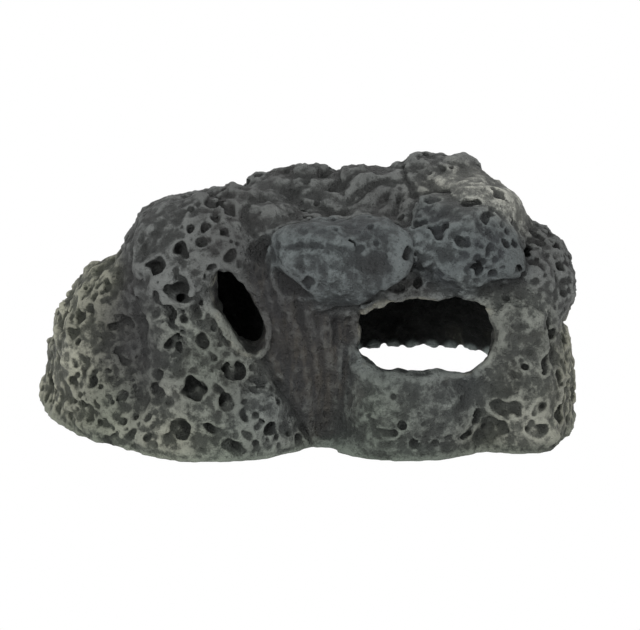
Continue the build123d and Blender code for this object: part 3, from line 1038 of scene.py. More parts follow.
    def settle(self) -> None:
        """Opens the cave, levels the foot at the ground and works out the fields that the paint reads."""
        lattice, hollow = self.lattice, self.hollow
        lining = np.maximum(-self.cave - hollow.lining, self.bare + 1.0)
        self.outer = np.minimum(self.outer, lining)
        hold = ramp(lattice.ticks(2), hollow.foot_low, hollow.foot_high)
        hold = hollow.foot_share + (1.0 - hollow.foot_share) * hold
        self.outer = self.bare + (self.outer - self.bare) * hold
        grain = self.spread("grain") * (lattice.noise(2.2, 5) + 0.6 * lattice.noise(1.3, 6))
        walls = self.cave + hollow.wavy * lattice.noise(7.0, 51)
        walls = walls + hollow.wavy_short * lattice.noise(3.0, 52)
        self.bumps = self.scallop()
        walls -= hollow.scallop_relief * self.bumps
        skin = smooth_max(self.outer, walls, hollow.edge) - grain
        self.skin = np.maximum(skin, -lattice.ticks(2))
        self.fine = blur(self.skin, 1.2 / lattice.step) - self.skin
        self.broad = lattice.blur_wide(np.clip(self.skin, -6.0, 6.0), 4.0) - self.skin

    def weigh_tints(self, washes: list[Wash], foot_wash: float = 0.5) -> None:
        """Works out how much of each paint shows where, as a coarse field with one layer per paint.

        Args:
            washes: places where another paint shows.
            foot_wash: share of moss at the ground.
        """
        order = list(Tint)
        table = np.zeros((len(self.stones), len(order)), np.float32)
        for number, stone in enumerate(self.stones):
            table[number, order.index(stone.tint)] = 1.0
        self.tints = self.shares @ table
        grid = np.meshgrid(*(self.lattice.coarse_ticks(k) for k in range(3)), indexing="ij")
        for wash in washes:
            away = np.sqrt(sum((g - v) ** 2 for g, v in zip(grid, (wash.x, wash.y, wash.z))))
            self.lay_wash(order.index(wash.tint), wash.share * bell(away, wash.radius))
        self.lay_wash(order.index(Tint.MOSS), foot_wash * (1.0 - ramp(grid[2], 1.0, 8.0)))

    def lay_wash(self, number: int, share: np.ndarray) -> None:
        """Lays one paint over the others, by its share."""
        self.tints *= 1.0 - share[..., None]
        self.tints[..., number] += share

    def cut_out(self, number: int) -> bpy.types.Object:
        """One stone as a closed mesh: the rock where this stone is the nearest, a hair past its seam.

        Args:
            number: the stone's number.

        Returns:
            Its object.
        """
        block = self.blocks[number]
        mine = self.owner[block] == number
        rival = np.where(mine, self.second[block], self.near[block])
        part = np.maximum(self.skin[block], 0.5 * (self.claims[number] - rival) - 0.35)
        points, quads = self.lattice.surface(part, block)
        return self.build_mesh(self.stones[number].node, points.astype(np.float32), quads)

    def build_mesh(self, node: str, points: np.ndarray, quads: np.ndarray) -> bpy.types.Object:
        """Puts points and faces into a mesh, with what the paint reads as attributes.

        Args:
            node: name of the stone's node.
            points: the vertices, in millimetres.
            quads: the faces.

        Returns:
            The stone's object.
        """
        mesh = bpy.data.meshes.new(node + "_stone")
        mesh.vertices.add(len(points))
        mesh.vertices.foreach_set("co", (points * METRE).ravel())
        mesh.loops.add(quads.size)
        mesh.loops.foreach_set("vertex_index", quads.ravel().astype(np.int32))
        mesh.polygons.add(len(quads))
        mesh.polygons.foreach_set("loop_start", np.arange(0, quads.size, 4, dtype=np.int32))
        mesh.polygons.foreach_set("use_smooth", np.ones(len(quads), bool))
        mesh.update(calc_edges=True)
        for name, values in self.paint_fields().items():
            layer = mesh.attributes.new(name, "FLOAT", "POINT")
            layer.data.foreach_set("value", self.lattice.sample(values, points))
        tints = self.lattice.sample(self.tints, points, coarse=True)
        tints /= np.maximum(tints.sum(axis=1, keepdims=True), 1e-3)
        layer = mesh.attributes.new("streaked", "FLOAT", "POINT")
        layer.data.foreach_set("value", np.ascontiguousarray(tints[:, list(Tint).index(Tint.STREAKED)]))
        for coat in COATS:
            colours = np.array([(*getattr(PAINTS[tint], coat), 1.0) for tint in Tint], np.float32)
            layer = mesh.attributes.new(coat, "FLOAT_COLOR", "POINT")
            layer.data.foreach_set("color", (tints @ colours).ravel())
        mesh.validate()
        stone = bpy.data.objects.new(node + "_stone", mesh)
        bpy.context.scene.collection.objects.link(stone)
        return stone

    def paint_fields(self) -> dict[str, np.ndarray]:
        """The fields that the paint reads, by the name of their attribute.

        Returns:
            How far a point stands out, the putty, the bumps' painted highlight, how deep it lies in a pit
            (painted as shade), the cave's painted shade.
        """
        hidden = ramp(self.lattice.ticks(1), self.hollow.hidden_front, self.hollow.hidden_back)
        return {
            "fine": self.fine,
            "broad": self.broad,
            "putty": self.putty,
            # where the bumps' painted highlight goes
            "bump_highlight": self.bumps,
            # how deep a point lies in a pit, which the dry brush paints as shade
            "sunk": np.minimum(-self.rough, np.maximum(-self.cave - 1.0, 0.0)),
            # where the cave's painted shade goes
            "cave_shade": self.inside * hidden,
        }


COATS = ("hollow", "body", "brush", "stain")


@dataclass(frozen=True)
class ResinPaint:
    """One paint job: colours of the hollows (the dark base coat, partly a painted shade deep in the pits),
    the body coat, the dry-brushed edges and the stains.
    """

    hollow: Colour
    body: Colour
    brush: Colour
    stain: Colour
    roughness: float = 0.62


PAINTS = {
    Tint.CHARCOAL: ResinPaint(
        hollow=(0.007, 0.008, 0.007), body=(0.037, 0.040, 0.038),
        brush=(0.144, 0.152, 0.146), stain=(0.026, 0.025, 0.024),
    ),
    Tint.GREY: ResinPaint(
        hollow=(0.008, 0.010, 0.008), body=(0.053, 0.058, 0.052),
        brush=(0.210, 0.222, 0.196), stain=(0.036, 0.037, 0.031),
    ),
    Tint.BLUE_GREY: ResinPaint(
        hollow=(0.008, 0.010, 0.011), body=(0.035, 0.042, 0.043),
        brush=(0.123, 0.142, 0.143), stain=(0.023, 0.028, 0.032),
    ),
    Tint.STREAKED: ResinPaint(
        hollow=(0.007, 0.007, 0.007), body=(0.021, 0.021, 0.022),
        brush=(0.072, 0.073, 0.068), stain=(0.029, 0.026, 0.023),
    ),
    Tint.OLIVE: ResinPaint(
        hollow=(0.008, 0.010, 0.006), body=(0.077, 0.082, 0.061),
        brush=(0.361, 0.361, 0.283), stain=(0.055, 0.060, 0.039),
    ),
    Tint.PALE: ResinPaint(
        hollow=(0.014, 0.015, 0.013), body=(0.141, 0.145, 0.129),
        brush=(0.452, 0.454, 0.398), stain=(0.104, 0.106, 0.090),
    ),
    Tint.MOSS: ResinPaint(
        hollow=(0.008, 0.011, 0.008), body=(0.046, 0.060, 0.044),
        brush=(0.170, 0.205, 0.160), stain=(0.030, 0.038, 0.027),
    ),
    # painted shade: a near-black wash for the scoop, the creases and the gap under the brow
    Tint.SOOT: ResinPaint(
        hollow=(0.005, 0.005, 0.005), body=(0.012, 0.012, 0.013),
        brush=(0.046, 0.047, 0.048), stain=(0.010, 0.009, 0.010),
    ),
}


class NodeBench:
    """Lays out shader nodes from left to right and joins them."""

    def __init__(self, tree: bpy.types.NodeTree) -> None:
        """Works on one node tree."""
        self.tree = tree
        self.count = 0

    def add(self, kind: str, inputs: dict[int | str, Any] | None = None, **settings: Any) -> bpy.types.Node:
        """Adds a node.

        Args:
            kind: its type.
            inputs: a value or another node's socket for some of its inputs.
            settings: its properties.

        Returns:
            The node.
        """
        node = self.tree.nodes.new(kind)
        node.location = (180 * (self.count % 12), -260 * (self.count // 12))
        self.count += 1
        for key, value in settings.items():
            setattr(node, key, value)
        for key, value in (inputs or {}).items():
            if isinstance(value, Socket):
                self.tree.links.new(value, node.inputs[key])
            else:
                node.inputs[key].default_value = value
        return node

    def math(self, operation: str, *values: Socket | float) -> Socket:
        """A Math node's result."""
        return self.add("ShaderNodeMath", dict(enumerate(values)), operation=operation).outputs[0]

    def mix(self, share: Socket | float, first: Socket | Colour, second: Socket | Colour) -> Socket:
        """A colour mix.

        Args:
            share: how much of the second colour shows.
            first: one colour.
            second: the other.

        Returns:
            The mixed colour.
        """
        one, two = (value if isinstance(value, Socket) else (*value, 1.0) for value in (first, second))
        return self.add("ShaderNodeMix", {0: share, 6: one, 7: two}, data_type="RGBA").outputs[2]

    def ramp(self, value: Socket, low: float, high: float) -> Socket:
        """A smooth step from 0 at low to 1 at high."""
        inputs = {0: value, 1: low, 2: high, 3: 0.0, 4: 1.0}
        return self.add("ShaderNodeMapRange", inputs, interpolation_type="SMOOTHSTEP").outputs[0]

    def value_of(self, name: str) -> Socket:
        """A number that the mesh carries."""
        return self.add("ShaderNodeAttribute", attribute_name=name).outputs["Fac"]

    def colour_of(self, name: str) -> Socket:
        """A colour that the mesh carries."""
        return self.add("ShaderNodeAttribute", attribute_name=name).outputs["Color"]

    def noise(self, place: Socket, scale: float) -> Socket:
        """A noise texture's value, from 0 to 1."""
        inputs = {"Vector": place, "Scale": scale, "Detail": 3.0, "Roughness": 0.6}
        return self.add("ShaderNodeTexNoise", inputs).outputs["Fac"]


def make_group(name: str, inputs: list[str], outputs: list[str]) -> tuple[bpy.types.NodeTree, NodeBench]:
    """An empty shader node group with number inputs and outputs.

    Args:
        name: the group's name.
        inputs: names of its inputs.
        outputs: names of its outputs.

    Returns:
        The group and a bench to lay out its nodes on.
    """
    group = bpy.data.node_groups.new(name, "ShaderNodeTree")
    for title in inputs:
        group.interface.new_socket(title, in_out="INPUT", socket_type="NodeSocketFloat")
    for title in outputs:
        group.interface.new_socket(title, in_out="OUTPUT", socket_type="NodeSocketFloat")
    return group, NodeBench(group)


def build_grain_group() -> bpy.types.NodeTree:
    """Mineral grain: fine noise and pin pits as a height, and two speckles from 0 to 1.

    Returns:
        The group.
    """
    group, bench = make_group("mineral_grain", ["Scale", "Pin pits"], ["Height", "Speckle", "Fleck"])
    source = bench.add("NodeGroupInput")
    place = bench.add("ShaderNodeTexCoord").outputs["Object"]
    scale = source.outputs["Scale"]
    inputs = {"Vector": place, "Scale": scale, "Detail": 4.0, "Roughness": 0.7}
    fine = bench.add("ShaderNodeTexNoise", inputs)
    coarser = bench.math("MULTIPLY", scale, 0.45)
    inputs = {"Vector": place, "Scale": coarser, "Detail": 3.0, "Roughness": 0.65}
    wider = bench.add("ShaderNodeTexNoise", inputs)
    coarser = bench.math("MULTIPLY", scale, 0.6)
    cells = bench.add("ShaderNodeTexVoronoi", {"Vector": place, "Scale": coarser})
    pins = bench.ramp(cells.outputs["Distance"], 0.10, 0.40)
    sunk = bench.math("MULTIPLY", bench.math("SUBTRACT", pins, 1.0), source.outputs["Pin pits"])
    grains = bench.math("MULTIPLY_ADD", wider.outputs["Fac"], 0.8, fine.outputs["Fac"])
    height = bench.math("ADD", grains, sunk)
    target = bench.add("NodeGroupOutput")
    group.links.new(height, target.inputs["Height"])
    group.links.new(bench.ramp(fine.outputs["Fac"], 0.32, 0.68), target.inputs["Speckle"])
    group.links.new(bench.ramp(wider.outputs["Fac"], 0.34, 0.66), target.inputs["Fleck"])
    return group


def build_brush_group() -> bpy.types.NodeTree:
    """Dry brush: where paint catches on raised edges, and where it stays dark in the hollows, with painted
    shade deep in the pits.

    Returns:
        The group.
    """
    group, bench = make_group("dry_brush", ["Speckle", "Fleck"], ["Raised", "Hollow"])
    source = bench.add("NodeGroupInput")
    fine, broad, sunk = (bench.value_of(name) for name in ("fine", "broad", "sunk"))
    speck = bench.math("MULTIPLY_ADD", source.outputs["Speckle"], 0.50, -0.25)
    fleck = bench.math("MULTIPLY_ADD", source.outputs["Fleck"], 0.16, -0.08)
    edge = bench.math("MULTIPLY_ADD", broad, 0.22, bench.math("MULTIPLY_ADD", fine, 1.3, speck))
    raised = bench.ramp(bench.math("ADD", edge, fleck), -0.05, 0.95)
    form = bench.math("MULTIPLY_ADD", broad, -0.30, bench.math("MULTIPLY_ADD", fine, -0.9, speck))
    low = bench.ramp(form, -0.35, 1.35)
    # painted shade: the deeper a point lies in a pit, the darker it is painted
    deep = bench.ramp(sunk, 0.5, 4.2)
    target = bench.add("NodeGroupOutput")
    caught = bench.math("MULTIPLY", raised, bench.math("SUBTRACT", 1.0, deep))
    group.links.new(caught, target.inputs["Raised"])
    group.links.new(bench.math("MAXIMUM", low, deep), target.inputs["Hollow"])
    return group


@dataclass
class PaintShop:
    """Builds the materials of all the paints from two shared node groups."""

    grain_scale: float = 820.0          # the mineral grain's scale, per metre
    pin_pits: float = 0.5               # how deep the pin pits look
    grain_height: float = 0.0015        # the grain's height, in metres
    cloud_scale: float = 42.0           # the stains and the brushwork come and go in clouds
    patch_scale: float = 130.0          # and the dark in smaller patches
    # painted shade inside the cave
    cave: Colour = (0.010, 0.013, 0.011)
    putty: Colour = (0.22, 0.215, 0.170)
    # painted highlight on the bumps over the rear arch
    bumps: Colour = (0.50, 0.58, 0.56)
    streaks: Colour = (0.088, 0.076, 0.058)

    def __post_init__(self) -> None:
        """Makes the groups once."""
        self.grain = build_grain_group()
        self.brush = build_brush_group()

    def build(self, name: str, paint: ResinPaint) -> bpy.types.Material:
        """A painted resin: body coat, stains, dark hollows with painted shade in the pits, dry-brushed
        edges and painted shade in the cave.

        Args:
            name: the finish's name.
            paint: its paint job.

        Returns:
            The material.
        """
        material = bpy.data.materials.new(name + "_paint")
        material.use_nodes = True
        material.node_tree.nodes.clear()
        bench = NodeBench(material.node_tree)
        place = bench.add("ShaderNodeTexCoord").outputs["Object"]
        grain = bench.add("ShaderNodeGroup", node_tree=self.grain)
        grain.inputs["Scale"].default_value = self.grain_scale
        grain.inputs["Pin pits"].default_value = self.pin_pits
        speckle, fleck = grain.outputs["Speckle"], grain.outputs["Fleck"]
        brush = bench.add("ShaderNodeGroup", {"Speckle": speckle, "Fleck": fleck}, node_tree=self.brush)
        clouds = bench.noise(place, self.cloud_scale)
        colour = self.lay_coats(bench, place, clouds, speckle)
        colour = self.dry_brush(bench, colour, brush, clouds)
        colour = self.pick_out(bench, colour, speckle, fleck)
        rough = bench.math("MULTIPLY_ADD", speckle, 0.22, paint.roughness - 0.11)
        relief = {"Height": grain.outputs["Height"], "Strength": 0.9, "Distance": self.grain_height}
        normal = bench.add("ShaderNodeBump", relief).outputs["Normal"]
        inputs = {"Base Color": colour, "Roughness": rough, "Normal": normal}
        surface = bench.add("ShaderNodeBsdfPrincipled", inputs)
        bench.add("ShaderNodeOutputMaterial", {"Surface": surface.outputs[0]})
        return material

    def lay_coats(self, bench: NodeBench, place: Socket, clouds: Socket, speckle: Socket) -> Socket:
        """The body coat with its stains and streaks, darkened in patches and between the speckles.

        Args:
            bench: where the nodes go.
            place: the point that is painted.
            clouds: where the stains lie.
            speckle: the grain's finer speckle.

        Returns:
            The colour so far.
        """
        patches = bench.noise(place, self.patch_scale)
        stained = bench.ramp(clouds, 0.42, 0.66)
        colour = bench.mix(stained, bench.colour_of("body"), bench.colour_of("stain"))
        colour = self.streak(bench, place, colour)
        shade = bench.math("MULTIPLY", bench.ramp(patches, 0.70, 0.30), 0.40)
        colour = bench.mix(shade, colour, bench.colour_of("hollow"))
        shade = bench.math("MULTIPLY_ADD", speckle, -0.30, 0.30)
        return bench.mix(shade, colour, bench.colour_of("hollow"))

    def streak(self, bench: NodeBench, place: Socket, colour: Socket) -> Socket:
        """Runs of brown and beige wash down the streaked stone.

        Args:
            bench: where the nodes go.
            place: the point that is painted.
            colour: the colour under the wash.

        Returns:
            The colour with it.
        """
        run = bench.add("ShaderNodeMapping", {"Vector": place, "Scale": (1.0, 1.0, 0.16)}).outputs[0]
        lines = bench.noise(run, 330.0)
        share = bench.math("MULTIPLY", bench.ramp(lines, 0.46, 0.64), bench.value_of("streaked"))
        return bench.mix(bench.math("MULTIPLY", share, 0.5), colour, self.streaks)

    def dry_brush(self, bench: NodeBench, colour: Socket, brush: bpy.types.Node, clouds: Socket) -> Socket:
        """Darkens the hollows, partly as the dark base coat and partly as painted shade deep in the pits,
        and catches paint on the raised edges.

        Args:
            bench: where the nodes go.
            colour: the colour so far.
            brush: the dry brush's group node.
            clouds: where the stains lie, which take less of the brush.

        Returns:
            The colour with it.
        """
        # the dark base coat in the hollows, with painted shade deep in the pits
        colour = bench.mix(brush.outputs["Hollow"], colour, bench.colour_of("hollow"))
        catch = bench.math("MULTIPLY_ADD", bench.ramp(clouds, 0.66, 0.32), 0.35, 0.60)
        share = bench.math("MULTIPLY", brush.outputs["Raised"], catch)
        return bench.mix(share, colour, bench.colour_of("brush"))

    def pick_out(self, bench: NodeBench, colour: Socket, speckle: Socket, fleck: Socket) -> Socket:
        """Paints the putty, the painted shade inside the cave and a painted highlight on the bumps over the
        rear arch.

        Args:
            bench: where the nodes go.
            colour: the colour so far.
            speckle: the grain's finer speckle.
            fleck: its wider one.

        Returns:
            The finished colour.
        """
        putty = bench.value_of("putty")
        share = bench.math("MULTIPLY", putty, bench.math("MULTIPLY_ADD", fleck, 0.6, 0.3))
        colour = bench.mix(share, colour, self.putty)
        # painted shade inside the cave, behind the sill
        colour = bench.mix(bench.ramp(bench.value_of("cave_shade"), 0.30, 0.47), colour, self.cave)
        # painted highlight on the bumps over the rear arch
        bumps = bench.value_of("bump_highlight")
        share = bench.math("MULTIPLY", bumps, bench.math("MULTIPLY_ADD", speckle, 0.3, 0.7))
        return bench.mix(share, colour, self.bumps)


@dataclass(frozen=True)
class Lamp:
    """A square soft lamp: its name, its place and size in metres, and its power in watts."""

    name: str
    place: Place
    size: float
    power: float


@dataclass
class Studio:
    """A pale floor, a soft bright surround and the camera, in metres."""

    floor_size: float = 6.0
    paper: float = 0.93                 # grey of the floor as the ornament sees it
    surround: float = 0.5               # how bright the ornament sees the world
    camera_distance: float = 0.9
    camera_elevation: float = 22.0      # in degrees
    aim: Place = (0.006, -0.008, 0.050)
    lens: float = 115.0                 # in millimetres
    nearest: float = 0.01
    lamps: tuple[Lamp, ...] = (
        Lamp("key", (-0.60, -1.05, 0.85), 0.8, 14.0),
        Lamp("fill", (0.9, -0.8, 0.6), 1.0, 4.5),
        Lamp("rear", (0.1, 0.9, 0.9), 0.8, 3.5),
    )

    def build(self) -> None:
        """Makes the floor, the lamps, the world and the camera."""
        self.build_floor()
        for lamp in self.lamps:
            self.build_lamp(lamp)
        self.build_world()
        self.build_camera()

    @staticmethod
    def white_to_camera(bench: NodeBench, lit: bpy.types.Node, seen: bpy.types.Node) -> Socket:
        """A shader that lights the ornament one way and is seen by the camera another way.

        Args:
            bench: where the nodes go.
            lit: what the ornament gets.
            seen: what the camera sees.

        Returns:
            The shader's socket.
        """
        rays = bench.add("ShaderNodeLightPath")
        inputs = {0: rays.outputs["Is Camera Ray"], 1: lit.outputs[0], 2: seen.outputs[0]}
        return bench.add("ShaderNodeMixShader", inputs).outputs[0]

    def build_floor(self) -> None:
        """A plain plane under the ornament, white to the camera."""
        half = self.floor_size / 2
        corners = [(-half, -half, 0), (half, -half, 0), (half, half, 0), (-half, half, 0)]
        mesh = bpy.data.meshes.new("studio_floor")
        mesh.from_pydata(corners, [], [(0, 1, 2, 3)])
        floor = bpy.data.objects.new("studio_floor", mesh)
        bpy.context.scene.collection.objects.link(floor)
        material = bpy.data.materials.new("studio_paper")
        material.use_nodes = True
        material.node_tree.nodes.clear()
        bench = NodeBench(material.node_tree)
        paper = bench.add("ShaderNodeBsdfDiffuse", {"Color": (self.paper, self.paper, self.paper, 1.0)})
        glow = bench.add("ShaderNodeEmission", {"Color": WHITE, "Strength": 1.0})
        final = self.white_to_camera(bench, paper, glow)
        bench.add("ShaderNodeOutputMaterial", {"Surface": final})
        floor.data.materials.append(material)

    def build_lamp(self, lamp: Lamp) -> None:
        """Makes one lamp that looks at the ornament.

        Args:
            lamp: the lamp.
        """
        light = bpy.data.lights.new(lamp.name, "AREA")
        light.size = lamp.size
        light.energy = lamp.power
        holder = bpy.data.objects.new(lamp.name, light)
        holder.location = lamp.place
        way = Vector(self.aim) - Vector(lamp.place)
        holder.rotation_euler = way.to_track_quat("-Z", "Y").to_euler()
        bpy.context.scene.collection.objects.link(holder)

    def build_world(self) -> None:
        """An even surround that looks white to the camera."""
        world = bpy.data.worlds.new("surround")
        world.use_nodes = True
        world.node_tree.nodes.clear()
        bench = NodeBench(world.node_tree)
        light = bench.add("ShaderNodeBackground", {"Color": WHITE, "Strength": self.surround})
        seen = bench.add("ShaderNodeBackground", {"Color": WHITE, "Strength": 1.0})
        final = self.white_to_camera(bench, light, seen)
        bench.add("ShaderNodeOutputWorld", {"Surface": final})
        bpy.context.scene.world = world

    def build_camera(self) -> None:
        """A long lens in front, a little above."""
        data = bpy.data.cameras.new("camera")
        data.lens = self.lens
        data.clip_start = self.nearest
        camera = bpy.data.objects.new("camera", data)
        rise = math.radians(self.camera_elevation)
        away = Vector((0.0, -math.cos(rise), math.sin(rise))) * self.camera_distance
        camera.location = Vector(self.aim) + away
        camera.rotation_euler = (-away).to_track_quat("-Z", "Y").to_euler()
        bpy.context.scene.collection.objects.link(camera)
        bpy.context.scene.camera = camera
        bpy.context.scene.view_settings.view_transform = "Standard"


POROUS = Relief(
    merge=0.3, swell=1.2, lumps=1.1, ridges=0.6, grain=0.32, pits=2.8, pit_radius=1.15, largest=2.8
)
PITTED = Relief(
    merge=0.3, swell=1.1, lumps=0.8, ridges=0.6, grain=0.27, pits=1.8, pit_radius=1.3, largest=3.2
)
FOLDED = Relief(
    merge=0.5, swell=1.6, lumps=1.3, ridges=0.6, grain=0.26, pits=1.0, pit_radius=1.1, largest=2.4
)
SMOOTH = Relief(
    merge=0.5, swell=1.2, lumps=0.6, ridges=0.4, grain=0.2, pits=0.4, pit_radius=1.1, largest=2.2
)
GROOVED = Relief(
    merge=0.8, swell=1.0, lumps=0.3, ridges=0.4, grain=0.24, streaks=0.3,
    pits=0.3, pit_radius=1.0, largest=1.8,
)

STONES = [
    Stone("left_outcrop", Tint.OLIVE, POROUS),
    Stone("left_buttress", Tint.GREY, PITTED),
    Stone("centre_pillar", Tint.STREAKED, GROOVED),
    Stone("window_sill", Tint.BLUE_GREY, SMOOTH),
    Stone("right_pier", Tint.GREY, SMOOTH),
    Stone("right_end", Tint.OLIVE, PITTED),
    Stone("right_knob", Tint.CHARCOAL, POROUS),
    Stone("rear_left_wall", Tint.CHARCOAL, PITTED),
    Stone("rear_right_wall", Tint.CHARCOAL, PITTED),
    Stone("left_shoulder", Tint.CHARCOAL, PITTED),
    Stone("cave_roof", Tint.CHARCOAL, FOLDED),
    Stone("saddle_stone", Tint.CHARCOAL, FOLDED),
    Stone("brow_boulder", Tint.BLUE_GREY, SMOOTH),
    Stone("cheek_boulder", Tint.BLUE_GREY, PITTED),
    Stone("top_slab", Tint.PALE, SMOOTH),
    Stone("crest_stone_left", Tint.CHARCOAL, FOLDED),
    Stone("crest_stone_middle", Tint.CHARCOAL, FOLDED),
    Stone("crest_stone_right", Tint.CHARCOAL, FOLDED),
]

# pairs of stones with a crack between them
CRACKS = [
    ("brow_boulder", "saddle_stone"),
    ("left_buttress", "centre_pillar"),
    ("brow_boulder", "cave_roof"),
    ("cheek_boulder", "cave_roof"),
    ("cheek_boulder", "top_slab"),
    ("crest_stone_left", "crest_stone_middle"),
    ("crest_stone_middle", "crest_stone_right"),
]

DENTS = [
    # the scoop between outcrop and buttress
    Dent(-77, -30, 46, 13, 10.0),
    Dent(-74, -36, 26, 11, 7.5),
    # knuckles up the buttress
    Dent(-64, -42, 62, 7, -2.0),
    Dent(-62, -45, 47, 7, -2.0),
    Dent(-61, -48, 33, 7, -2.0),
    # foot and flank of the outcrop
    Dent(-118, -8, 12, 15, 3.0),
    Dent(-88, -36, 33, 7, -2.0),
    # the raised edge between buttress and pillar
    Dent(-30, -46, 50, 7, -2.5),
    Dent(-20, -49, 38, 8, -3.0),
    Dent(-9, -50, 26, 8, -3.0),
    Dent(1, -51, 12, 8, -2.5),
    # the channel down the pillar
    Dent(-14, -42, 58, 9, 1.0),
    Dent(-1, -42, 42, 9, 3.0),
    Dent(7, -44, 27, 8, 3.0),
    Dent(12, -46, 10, 9, 3.5),
    # the buttress's swollen foot
    Dent(-50, -48, 22, 12, -1.5),
    # hollows in the brow
    Dent(29, -44, 86, 8, 6.0),
    Dent(6, -44, 84, 7, 1.6),
    Dent(21, -36, 98, 7, 2.0),
    # lumps and notches along the crest
    Dent(-15, 18, 98, 6, -2.0),
    Dent(-8, 20, 103, 5, 1.5),
    Dent(1, 22, 104, 6, -2.0),
    Dent(9, 22, 106, 5, 1.8),
    Dent(17, 24, 104, 6, -1.5),
    Dent(30, 24, 107, 6, 2.0),
    Dent(49, 24, 110, 6, -1.5),
    Dent(56, 24, 112, 4, 1.2),
    Dent(62, 22, 111, 5, -1.5),
    Dent(68, 10, 111, 5, 1.5),
    Dent(74, 4, 107, 6, -1.5),
    Dent(81, 2, 105, 5, 1.5),
    Dent(88, 0, 101, 6, -1.5),
    # and along the shoulder
    Dent(-72, -8, 94, 6, -2.0),
    Dent(-67, -6, 98, 4, 1.2),
    Dent(-62, -6, 99, 5, -1.2),
    Dent(-54, -6, 102, 4, 1.5),
    Dent(-46, -6, 101, 7, -1.5),
    Dent(-36, -6, 100, 5, 1.5),
    # the dip between cheek and knob, filled up
    Dent(92, -20, 68, 10, -8.0),
    Dent(94, -22, 76, 8, -5.0),
    # the dip between shoulder and pillar, filled up
    Dent(-33, -22, 90, 8, -5.0),
    Dent(-31, -28, 83, 7, -4.0),
    # between cheek and knob once more
    Dent(90, -26, 78, 8, -3.0),
    # the brow's back and its ledge
    Dent(-11, -32, 96, 10, -5.0),
    Dent(4, -40, 95, 7, -1.6),
    # the bridge from brow to cheek
    Dent(38, -44, 76, 8, -3.0),
    Dent(43, -38, 87, 9, -6.0),
    Dent(45, -30, 96, 8, -4.0),
    # the cheek
    Dent(60, -40, 90, 6, 2.6),
    Dent(74, -38, 80, 6, 2.2),
    Dent(62, -40, 78, 6, -1.8),
    Dent(86, -28, 84, 8, -3.0),
    # the basin in the crown
    Dent(38, 4, 103, 15, 4.0),
    # swellings of the sill
    Dent(46, -52, 20, 16, -1.5),
    Dent(30, -50, 34, 8, -1.5),
    Dent(70, -50, 33, 9, -1.5),
]

FACETS = [
    # brow: front, lower left, left, top and lower right
    Facet(16, -46.5, 84, (-0.12, -0.97, -0.2), 24),
    Facet(-5, -41, 79.5, (-0.62, -0.3, -0.72), 22),
    Facet(-14, -32, 88, (-0.9, -0.42, 0.1), 18),
    Facet(14, -35, 99.5, (0.0, -0.35, 0.94), 22),
    Facet(37, -43, 76, (0.4, -0.5, -0.75), 16),
    # cheek
    Facet(66, -41, 86, (0.1, -0.95, 0.25), 15),
    Facet(80, -34, 92, (0.5, -0.5, 0.7), 14),
    # slab
    Facet(70, -10, 109, (0.25, -0.3, 0.92), 20),
    # shoulder
    Facet(-60, -8, 102.5, (-0.15, -0.1, 0.98), 22),
    # knob
    Facet(114, 0, 80, (0.97, -0.1, 0.2), 14),
]

NICKS = [
    # side entrance
    Nick(-37, -40, 56, 8, 3.0),
    Nick(-28, -40, 47, 7, 3.0),
    Nick(-42, -36, 69, 6, -2.5),
    Nick(-20, -38, 60, 9, -2.0),
    # left edge of the window
    Nick(25, -44, 63, 7, -2.0),
    Nick(23, -44, 41, 7, 1.2),
    # the sill's crest, raised
    Nick(30, -43, 36, 7, 2.0),
    Nick(40, -43, 35, 8, 2.2),
    Nick(52, -43, 35, 8, 2.2),
    Nick(64, -43, 35, 8, 2.2),
    Nick(75, -42, 37, 7, 1.6),
    # and its back, lowered
    Nick(34, -29, 33, 8, -3.0),
    Nick(48, -28, 33, 9, -3.5),
    Nick(62, -28, 33, 9, -3.5),
    Nick(74, -28, 35, 8, -3.0),
]

SCORES = [
    # runs down the pillar
    Score(View.FRONT, (-16, 80), (-6, 34), 1.6, 1.2),
    Score(View.FRONT, (-6, 78), (4, 26), 1.8, 1.4),
    Score(View.FRONT, (4, 66), (9, 18), 1.6, 1.3),
    Score(View.FRONT, (12, 66), (13, 30), 1.4, 1.0),
    Score(View.FRONT, (18, 52), (14, 8), 1.6, 1.2),
    # the brow's ledge
    Score(View.FRONT, (-13, 92), (8, 95), 1.5, 1.6),
    Score(View.FRONT, (8, 95), (24, 90), 1.6, 1.4),
    # folds that fan out over the crown
    Score(View.TOP, (40, 14), (28, -6)),
    Score(View.TOP, (42, 14), (38, -10)),
    Score(View.TOP, (45, 14), (50, -8)),
    Score(View.TOP, (36, 16), (18, 2)),
    Score(View.TOP, (48, 16), (62, -2)),
    Score(View.TOP, (34, 20), (10, 12)),
]

